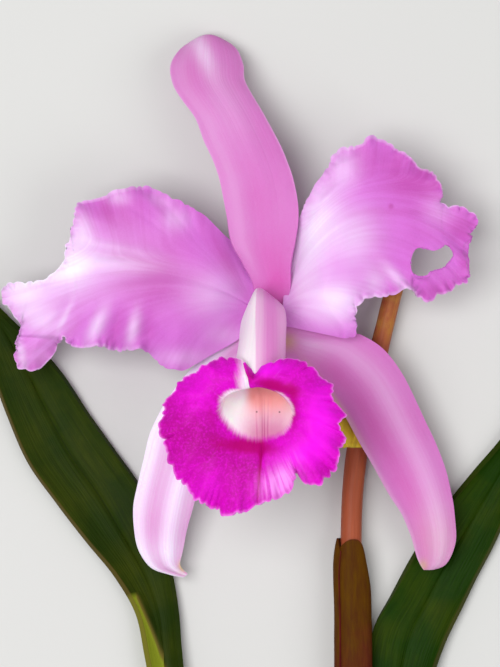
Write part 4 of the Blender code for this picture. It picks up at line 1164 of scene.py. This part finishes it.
@lru_cache(maxsize=None)
def lip_line(across):
    """The places that one line of the lip passes: from its foot up the tube and out to the margin."""
    turn = math.radians(LIP_SEAM) + 2 * math.pi * across
    places = [ring_point(ring, turn) for ring in LIP_RINGS]
    throat = places[-1]
    # The right lobe's free edge slants from the throat up to its tip, over the left lobe's pale edge.
    slant = THROAT_SEAM_SHIFT * (ramp(across, 0.91, 1.0) + ramp(across, 0.09, 0.0))
    throat.x += slant
    places[-2].x += 0.5 * slant
    margin = lip_margin_point(across)
    for share, rise in LIP_ARCH:
        point = throat.lerp(margin, share)
        point.z = throat.z + (margin.z - throat.z) * share**2 + rise
        places.append(point)
    places.append(margin)
    outward = Vector((margin.x - throat.x, margin.y - throat.y, 0.0)).normalized()
    return places, spline(LIP_MARGIN_LENGTHS, across), outward


def lip_shape(settings):
    frill, groove = settings.frill / MM, settings.groove / MM

    def place(along, across):
        places, run, outward = lip_line(across)
        point = spline(places, along)
        wave = max(0.0, (along - LIP_FRILL_START) / (1.0 - LIP_FRILL_START)) ** 1.5
        point.z += LIP_FRILL_HEIGHT * wave * math.sin(2 * math.pi * LIP_FRILLS * across)
        limb = ramp(along, 0.68, 0.8)
        fringe = ramp(along, 0.86, 1.0)
        seen = VIEW_MIDDLE + (point - VIEW_MIDDLE) / LIP_NEARNESS
        free = ramp(abs(2 * across - 1), 1.0, 0.97)
        # Folds run out from the throat and grow into the frills.
        point.z += limb * (0.5 + 1.2 * fringe) * ripple(run / 9.0, along * 3.0, 3.0)
        curl = math.sin(2 * math.pi * run / CURL_SPACING + 8.0 * ripple(run / 8.0, 5.0))
        point.z += free * frill * fringe * (0.4 * curl + ripple(run / 2.4, 4.0) + 0.3 * ripple(run, 4.5))
        lobes = abs(math.sin(math.pi * run / LIP_LOBE + 5.0 * ripple(run / 7.0, 6.0))) - 0.6
        lobes *= 0.9 + 1.4 * ripple(run / 9.0, 6.5)
        scallops = 0.8 * lobes + 1.3 * ripple(run / 5.0, 7.0) + 1.1 * ripple(run / 1.7, 8.0)
        point += outward * (free * fringe * scallops)
        point -= outward * LIP_NOTCH_DEPTH * fringe * min(spots(LIP_NOTCH, seen.x, seen.y), 1.0)
        # Low puckers cross the blade.
        point.z += 0.35 * limb * ripple(point.x / 3.2, point.y / 3.2, 9.0)
        # The groove runs from the throat down to the margin, with a low swelling on each side.
        if along > 0.6:
            middle = -2.0 - 1.7 * ramp(point.y, -41.5, -63.0)
            off = point.x - middle
            down = ramp(point.y, -38.0, -44.0)
            point.z -= groove * down * bell(off, 0.8)
            point.z += 0.5 * groove * down * bell(abs(off) - 2.6, 1.6)
        # The throat's floor carries two low keels.
        inner = ramp(along, 0.7, 0.6) * ramp(along, 0.3, 0.4)
        if inner > 0.0 and point.y < LIP_RINGS[5][0][1]:
            point.z += 0.5 * inner * (bell(point.x + 3.4, 0.9) + bell(point.x - 0.2, 0.9))
        return point

    return place


def lip_marks(along, across, point):
    """The lip's attributes. Its colours are placed as seen from above, where it stands nearer the eye."""
    seen = VIEW_MIDDLE + (point - VIEW_MIDDLE) / LIP_NEARNESS
    x, y = seen.x, seen.y
    limb = ramp(along, 0.46, 0.54)
    away = seen.to_2d() - THROAT_MIDDLE
    share = math.atan2(away.y, away.x) / (2 * math.pi) % 1.0
    feather = spline(THROAT_FEATHER, share)
    beyond = away.length - spline(THROAT_REACH, share)
    throat = max(ramp(beyond, feather, -feather), 1.0 - limb)
    # The rolled rim of its roof catches the light on the right.
    roof_rim = 0.5 * bell(beyond - 0.3, 0.7) * ramp(x, -4.0, 1.0) * ramp(y, -35.0, -31.0) * limb
    # A painted shadow line parts the cream left of the throat from its right, which lies in painted shade, peach up
    # under the roof and pink lower down; the line fades out downwards.
    lower = ramp(y, -26.0, -36.0)
    shaded_right = ramp(x, -10.0 - 7.0 * lower, -4.6 + 4.0 * lower)
    shaded_right *= 1.0 - 0.15 * ramp(x, 3.0, 8.0)
    shaded_right *= ramp(along, 0.7, 0.67)
    converge = ramp(y, -27.0, -41.0)
    line = 0.5 + (x + 1.6) / (10.0 * (1.0 - 0.15 * converge))
    line_strength = (0.2 + 0.8 * converge) * ramp(y, -24.5, -30.0)
    left_edge = 0.72 * ramp(x, -13.4, -6.6) * ramp(across, 0.12, 0.03) * ramp(y, -28.0, -23.0)
    return {
        "around": (across, along, 0.0),
        "throat": max(throat, left_edge, roof_rim),
        "peach": shaded_right * (ramp(y, -42.0, -24.0) - 0.2 * ramp(y, -28.0, -24.0)),
        "blush": shaded_right * ramp(y, -24.0, -42.0),
        "lines": (line, line_strength, 0.0),
        # The dark spots are painted shade, partly the blade's own deeper magenta, and the bright spots are painted
        # light.
        "dark": min(spots(LIP_SHADE_AND_DARK, x, y), 1.0) * limb,
        "bright": min(spots(LIP_PAINTED_LIGHT, x, y), 1.0) * limb,
        "crimson": min(spots(LIP_CRIMSON, x, y), 1.0) * limb,
        # The shine beside the notch is a painted highlight.
        "patch": min(spots(LIP_PAINTED_SHINE, x, y), 1.0) * limb,
        "rim": 0.55 * ramp(along, 0.965, 1.0) * (1.0 + ripple(across * 40.0, 3.0)),
        "right_side": 0.55 * ramp(x, -4.5, -3.9) + 0.45 * ramp(x, -4.2, 0.5) if across > 0.5 else 0.0,
        # The hood's painted highlight along its right edge.
        "right_edge": ramp(x, 1.5, 4.6) if across > 0.5 else 0.0,
        "blade": ramp(along, 0.62, 0.82),
    }


def dress_lip(settings):
    obj = add_grid("bloom_lip", *LIP_GRID, lip_shape(settings), lip_marks)
    edit_whole(obj, (bpy.ops.mesh.remove_doubles, {"threshold": WELD}))
    give_thickness(obj, LIP_THICKNESS, [lip_material(settings), hood_material(settings)])
    finish_piece(obj, ["lip"])


def stalk_frames(path, rows):
    """Places, radii and steady cross directions along a stalk."""
    middles = [Vector(place) for place, _ in path]
    radii = [radius for _, radius in path]
    places = [spline(middles, row / rows) for row in range(rows + 1)]
    frames = []
    across = None
    for row, place in enumerate(places):
        ahead = (places[min(row + 1, rows)] - places[max(row - 1, 0)]).normalized()
        if across is None:
            across = ahead.orthogonal().normalized()
        across = (across - ahead * across.dot(ahead)).normalized()
        frames.append((place, spline(radii, row / rows), across, ahead.cross(across)))
    return frames


def add_stalk(name, path, grid, materials, relief, zone):
    """A closed stalk: a grid rolled round its path, sewn along its seam and capped with cut tissue."""
    rows = grid[0]
    frames = stalk_frames(path, rows)

    def place(along, across):
        middle, radius, first, second = frames[round(along * rows)]
        turn = 2 * math.pi * across
        radius += relief(along, turn)
        return middle + (first * math.cos(turn) + second * math.sin(turn)) * radius

    obj = add_grid(name, *grid, place, lambda along, across, point: {"zone": zone(along, point)})
    for material in materials:
        obj.data.materials.append(material)
    edit_whole(
        obj,
        (bpy.ops.mesh.remove_doubles, {"threshold": WELD}),
        (bpy.ops.mesh.fill_holes, {"sides": 0}),
        (bpy.ops.mesh.normals_make_consistent, {"inside": False}),
    )
    for face in obj.data.polygons:
        if len(face.vertices) > 4:
            face.material_index = len(materials) - 1
    return obj


def lay_on_surface(obj):
    """Flattens what would reach below the surface."""
    for vert in obj.data.vertices:
        vert.co.z = max(vert.co.z, 0.0)


STEM_COLLAR_Y = -43.6
STEM_COLLAR = 0.45


def stem_relief(along, turn):
    """The stem is uneven, and swells where the flower stalk sits on it, down to a narrow collar."""
    swell = 0.5 * ramp(along, 0.36, 0.42) + 0.35 * bell(along - 0.44, 0.012)
    uneven = 0.3 * ramp(along, 0.74, 0.7) + 0.1 * ripple(math.cos(turn) * 1.2, math.sin(turn) * 1.2, along * 14.0)
    return uneven + swell * ramp(along, STEM_COLLAR + 0.008, STEM_COLLAR)


def dress_stem(settings):
    cut = cut_material(settings)
    ovary = add_stalk(
        "bloom_ovary",
        OVARY_PATH,
        OVARY_GRID,
        [stalk_material("flower_stalk_skin", (settings.stem, settings.stem_yellow))],
        lambda along, turn: 0.09 * math.cos(6 * turn) * ramp(along, 0.2, 0.35) * ramp(along, 1.0, 0.85),
        lambda along, point: ramp(along, 0.68, 0.92),
    )
    finish_piece(ovary, ["ovary"])
    peduncle = add_stalk(
        "bloom_stem",
        PEDUNCLE_PATH,
        PEDUNCLE_GRID,
        [stalk_material("stem_skin_smooth", (settings.stem_yellow, settings.stem_red)), cut],
        stem_relief,
        lambda along, point: ramp(point.y, STEM_COLLAR_Y, STEM_COLLAR_Y - 0.8)
        + ramp(point.y, -35.0, -29.0) * (1.0 - 0.24 * ramp(point.y, -16.0, -4.0)),
    )
    finish_piece(peduncle, ["peduncle"])


def peduncle_share(y):
    """How far along the peduncle's path it passes this place."""
    last = len(PEDUNCLE_PATH) - 1
    for i in range(last):
        top, foot = PEDUNCLE_PATH[i][0][1], PEDUNCLE_PATH[i + 1][0][1]
        if foot <= y <= top:
            return (i + (top - y) / (top - foot)) / last
    return 1.0


PEDUNCLE_PLACES = [Vector(place) for place, _ in PEDUNCLE_PATH]


def sheath_place(along, across):
    """The sheath: a flattened roll round the peduncle, with its edges overlapping on the left."""
    turn = math.radians(SHEATH_START + SHEATH_ROLL * across)
    roll = SHEATH_STEP * (0.5 - across)
    # The rim is a round arch in front, and meets the tip of the other edge in a notch on the left.
    notch = max(0.0, -math.cos(turn)) ** 2 if across > 0.5 else ramp(across, 0.08, 0.0)
    low = SHEATH_ARCH * max(0.0, math.cos(turn)) ** 4 + SHEATH_NOTCH * notch
    y = SHEATH_FOOT_Y + (SHEATH_TIP_Y - low - SHEATH_FOOT_Y) * along
    middle = spline(PEDUNCLE_PLACES, peduncle_share(y))
    rim = max(0.0, (along - SHEATH_CLOSING_FROM) / (1.0 - SHEATH_CLOSING_FROM))
    half_width = (SHEATH_HALF_WIDTH + roll) * (1.0 - SHEATH_CLOSING * rim**2)
    half_height = (SHEATH_HALF_HEIGHT + roll) * (1.0 - SHEATH_FLATTENING * rim)
    crumple = 1.0 + 0.03 * ripple(math.cos(turn) * 1.5, math.sin(turn) * 1.5, y / 16.0) * ramp(along, 0.0, 0.1)
    x = middle.x + SHEATH_ASIDE + math.cos(turn) * half_width * crumple
    return Vector((x, y, middle.z + math.sin(turn) * half_height * crumple))


def dress_sheath(settings):
    skin = stalk_material(
        "sheath_skin_papery", (settings.sheath, settings.sheath_edge), streak=0.55, roughness=0.6, specular=0.06
    )

    def marks(along, across, point):
        # It reddens towards its foot and right. Its free edge is a thin dark red line, and its rim is dry.
        side = math.cos(math.radians(SHEATH_START + SHEATH_ROLL * across))
        edges = 0.75 * ramp(across, 0.014, 0.004) + 0.4 * ramp(along, 0.985, 1.0)
        return {"zone": edges + 0.4 * ramp(along, 0.8, 0.4) + 0.25 * max(0.0, side)}

    obj = add_grid("bloom_sheath", *SHEATH_GRID, sheath_place, marks)
    give_thickness(obj, SHEATH_THICKNESS, [skin])
    finish_piece(obj, ["sheath"])


LEAF_KEEL_DEPTH = 0.7
# Where the left leaf's margin starts to fold in, how far it slants inwards for each millimetre down the leaf,
# between which y the fold ends, and how high it stands.
LEAF_FOLD = Vector((-45.2, -95.0))
LEAF_FOLD_SLANT = 0.434
LEAF_FOLD_END = (-124.0, -138.0)
LEAF_FOLD_STEP = 0.7


def beyond_fold(point):
    """How far a place lies to the left of the left leaf's folded margin, and how much it is folded there."""
    fold_x = LEAF_FOLD.x + (LEAF_FOLD.y - point.y) * LEAF_FOLD_SLANT
    there = ramp(point.y, LEAF_FOLD.y + 1.0, LEAF_FOLD.y - 1.0) * ramp(point.y, LEAF_FOLD_END[1], LEAF_FOLD_END[0])
    return fold_x - point.x, there * ramp(point.x, -10.0, -16.0)


def leaf_place(ribs, seed):
    """A leathery leaf: the ribs' blade with a folded keel down its middle and slightly wavy margins."""
    row = blade_rows(ribs)

    def place(along, across):
        first, other, middle, first_run, other_run = row(along)
        side = 2 * across - 1
        edge, run = (other, other_run + 70.0) if side > 0 else (first, first_run)
        point = first.lerp(other, across)
        point.z = middle + (edge.z - middle) * side * side
        point.z -= LEAF_KEEL_DEPTH * bell(side, 0.09) * ramp(along, 1.0, 0.9)
        point.z += 0.5 * ramp(abs(side), 0.5, 1.0) * ripple(run / 22.0, seed)
        point.z += 0.25 * ripple(side * 2.0, along * 6.0, seed + 5.0)
        beyond, there = beyond_fold(point)
        point.z += LEAF_FOLD_STEP * there * bell(beyond + 0.6, 1.4)
        return point

    return place


def leaf_marks(base_end, base_side, first_line, other_line):
    """The leaf's attributes: its veins, keel, yellow base, bared underside and the line along a margin."""

    def marks(along, across, point):
        side = 2 * across - 1
        line = ramp(abs(side), 0.982, 0.997) * (other_line if side > 0 else first_line)
        beyond, there = beyond_fold(point)
        # The folded margin's line is as thin as the open one's.
        fold_line = 0.8 * there * bell(beyond, 0.5)
        return {
            "fan": (side, along * 4.0, side),
            "keel": 0.7 * bell(side, 0.035),
            "base": ramp(along, base_end, 0.3 * base_end) * bell(side - base_side, 0.5),
            "under": there * ramp(beyond, -0.4, 0.4),
            "margin": max(line * ramp(along, 0.0, 0.05), fold_line),
        }

    return marks


def dress_leaves(settings):
    older = leaf_material("leaf_skin_leathery", settings.leaf, settings)
    younger = leaf_material("leaf_skin_young", settings.leaf_young, settings)
    for node, skin, ribs, seed, marks in (
        ("leaf_left", older, LEAF_LEFT_RIBS, 81.0, leaf_marks(0.3, 0.1, 0.6, 0.0)),
        ("leaf_right", younger, LEAF_RIGHT_RIBS, 91.0, leaf_marks(0.25, 0.0, 0.25, 0.1)),
    ):
        obj = add_grid("bloom_" + node, *LEAF_GRID, leaf_place(ribs, seed), marks)
        turn_faces_up(obj)
        give_thickness(obj, LEAF_THICKNESS, [skin])
        lay_on_surface(obj)
        finish_piece(obj, [node])


def dress_pseudobulb(settings):
    obj = add_stalk(
        "bloom_pseudobulb",
        PSEUDOBULB_PATH,
        PSEUDOBULB_GRID,
        [stalk_material("pseudobulb_skin", (settings.pseudobulb, settings.leaf_base)), cut_material(settings)],
        lambda along, turn: 0.16 * math.cos(11 * turn) * ramp(along, 0.0, 0.2),
        lambda along, point: ramp(along, 0.4, 0.0) * 0.6,
    )
    lay_on_surface(obj)
    finish_piece(obj, ["pseudobulb"])


def dress_column(settings):
    """The column and its anther cap keep their solids, which have the right shape, and get waxy tissue."""
    material, shader, add = new_material("column_tissue_waxy")
    place = add("TexCoord", output="Object")
    clouds = add("TexNoise", {"Vector": place, "Scale": 300.0, "Detail": 3.0})
    skin = add("Mix", {"Factor": clouds, 6: settings.hood_left, 7: settings.hood_right}, data_type="RGBA")
    bump = add("Bump", {"Height": clouds, "Strength": 0.4, "Distance": 0.2 * MM})
    set_inputs(shader, {
        "Base Color": skin, "Normal": bump, "Roughness": 0.35, "Subsurface Weight": 0.25,
        "Subsurface Scale": 1.0 * MM,
    })
    for node in ("column", "anther_cap"):
        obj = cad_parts[node]
        for slot in obj.material_slots:
            slot.material = material


# The camera looks straight down. Its place is in millimetres.
CAMERA_PLACE = (-3.0, 37.7, 1200.0)
CAMERA_LENS = 188.65
# The sizes of the floor and the lamps, the lamps' places and the point that they shine at are in metres.
FLOOR_SIZE = 4.0
KEY_SIZE = 0.9
KEY_PLACE = (-0.5, 0.08, 1.4)
FILL_SIZE = 1.2
FILL_PLACE = (1.1, -0.5, 1.2)
LAMPS_AIM = Vector((0.0, 0.02, 0.03))


def set_stage(settings):
    """The floor, the light and the camera, which looks straight down on the lying bloom."""
    scene = bpy.context.scene
    bpy.ops.object.select_all(action="DESELECT")
    bpy.ops.mesh.primitive_plane_add(size=FLOOR_SIZE, location=(0.0, 0.0, 0.0))
    floor = bpy.context.object
    floor.name = "studio_floor"
    floor.data.transform(floor.matrix_world)
    floor.matrix_world.identity()
    floor.data.materials.append(floor_material(settings))

    for name, power, size, place in (
        ("key_light", settings.key, KEY_SIZE, KEY_PLACE),
        ("fill_light", settings.fill, FILL_SIZE, FILL_PLACE),
    ):
        bpy.ops.object.light_add(type="AREA", location=place)
        lamp = bpy.context.object
        lamp.name = name
        lamp.data.energy = power
        lamp.data.size = size
        lamp.rotation_mode = "QUATERNION"
        lamp.rotation_quaternion = (LAMPS_AIM - Vector(place)).to_track_quat("-Z", "Y")

    world = bpy.data.worlds.new("soft_air")
    world.use_nodes = True
    air = world.node_tree.nodes["Background"]
    air.inputs["Color"].default_value = (1.0, 1.0, 1.0, 1.0)
    air.inputs["Strength"].default_value = settings.air
    scene.world = world
    scene.view_settings.view_transform = "Standard"

    bpy.ops.object.camera_add(location=[number * MM for number in CAMERA_PLACE], rotation=(0.0, 0.0, 0.0))
    camera = bpy.context.object
    camera.name = "photo_camera"
    camera.data.sensor_width = 36.0
    camera.data.lens = CAMERA_LENS
    camera.data.clip_end = 10.0
    scene.camera = camera


class BLOOM_OT_petals(bpy.types.Operator):
    """Make both petals, with their ruffled margins, veins and the eaten hole in the right one"""

    bl_idname = "bloom.petals"
    bl_label = "Petals"

    def execute(self, context):
        dress_petals(context.scene.bloom_tepals)
        return {"FINISHED"}


class BLOOM_OT_sepals(bpy.types.Operator):
    """Make the dorsal sepal and both lateral sepals"""

    bl_idname = "bloom.sepals"
    bl_label = "Sepals"

    def execute(self, context):
        dress_sepals(context.scene.bloom_tepals)
        return {"FINISHED"}


class BLOOM_OT_lip(bpy.types.Operator):
    """Make the lip: its pale hood, cream throat and frilled magenta blade"""

    bl_idname = "bloom.lip"
    bl_label = "Lip"

    def execute(self, context):
        dress_lip(context.scene.bloom_lip)
        return {"FINISHED"}


class BLOOM_OT_column(bpy.types.Operator):
    """Give the column and its anther cap their waxy tissue"""

    bl_idname = "bloom.column"
    bl_label = "Column"

    def execute(self, context):
        dress_column(context.scene.bloom_lip)
        return {"FINISHED"}


class BLOOM_OT_stem(bpy.types.Operator):
    """Make the ovary with its stalk, and the stem that carried the bloom"""

    bl_idname = "bloom.stem"
    bl_label = "Stem"

    def execute(self, context):
        dress_stem(context.scene.bloom_greens)
        return {"FINISHED"}


class BLOOM_OT_sheath(bpy.types.Operator):
    """Make the papery sheath rolled round the stem"""

    bl_idname = "bloom.sheath"
    bl_label = "Sheath"

    def execute(self, context):
        dress_sheath(context.scene.bloom_greens)
        return {"FINISHED"}


class BLOOM_OT_leaves(bpy.types.Operator):
    """Make both leathery leaves"""

    bl_idname = "bloom.leaves"
    bl_label = "Leaves"

    def execute(self, context):
        dress_leaves(context.scene.bloom_greens)
        return {"FINISHED"}


class BLOOM_OT_pseudobulb(bpy.types.Operator):
    """Make the cut top of the pseudobulb"""

    bl_idname = "bloom.pseudobulb"
    bl_label = "Pseudobulb"

    def execute(self, context):
        dress_pseudobulb(context.scene.bloom_greens)
        return {"FINISHED"}


class BLOOM_OT_stage(bpy.types.Operator):
    """Set the pale floor, the soft light and the camera"""

    bl_idname = "bloom.stage"
    bl_label = "Stage"

    def execute(self, context):
        set_stage(context.scene.bloom_stage)
        return {"FINISHED"}


OPERATORS = (
    BLOOM_OT_petals,
    BLOOM_OT_sepals,
    BLOOM_OT_lip,
    BLOOM_OT_column,
    BLOOM_OT_stem,
    BLOOM_OT_sheath,
    BLOOM_OT_leaves,
    BLOOM_OT_pseudobulb,
    BLOOM_OT_stage,
)


class BLOOM_PT_panel(bpy.types.Panel):
    """Lists the bloom's pieces and its stage"""

    bl_idname = "BLOOM_PT_panel"
    bl_label = "Cattleya Bloom"
    bl_space_type = "VIEW_3D"
    bl_region_type = "UI"
    bl_category = "Bloom"

    def draw(self, context):
        for operator in OPERATORS:
            self.layout.operator(operator.bl_idname)
        for group in (
            context.scene.bloom_tepals,
            context.scene.bloom_lip,
            context.scene.bloom_greens,
            context.scene.bloom_stage,
        ):
            box = self.layout.box()
            for name in group.__annotations__:
                box.prop(group, name)


SETTINGS = (
    ("bloom_tepals", TepalSettings),
    ("bloom_lip", LipSettings),
    ("bloom_greens", GreenSettings),
    ("bloom_stage", StageSettings),
)


def register():
    for name, group in SETTINGS:
        bpy.utils.register_class(group)
        setattr(bpy.types.Scene, name, bpy.props.PointerProperty(type=group))
    for made in (*OPERATORS, BLOOM_PT_panel):
        bpy.utils.register_class(made)


def unregister():
    for made in reversed((*OPERATORS, BLOOM_PT_panel)):
        bpy.utils.unregister_class(made)
    for name, group in reversed(SETTINGS):
        delattr(bpy.types.Scene, name)
        bpy.utils.unregister_class(group)


def main():
    register()
    bpy.ops.bloom.stage()
    bpy.ops.bloom.petals()
    bpy.ops.bloom.sepals()
    bpy.ops.bloom.lip()
    bpy.ops.bloom.column()
    bpy.ops.bloom.stem()
    bpy.ops.bloom.sheath()
    bpy.ops.bloom.leaves()
    bpy.ops.bloom.pseudobulb()


if __name__ == "__main__":
    main()
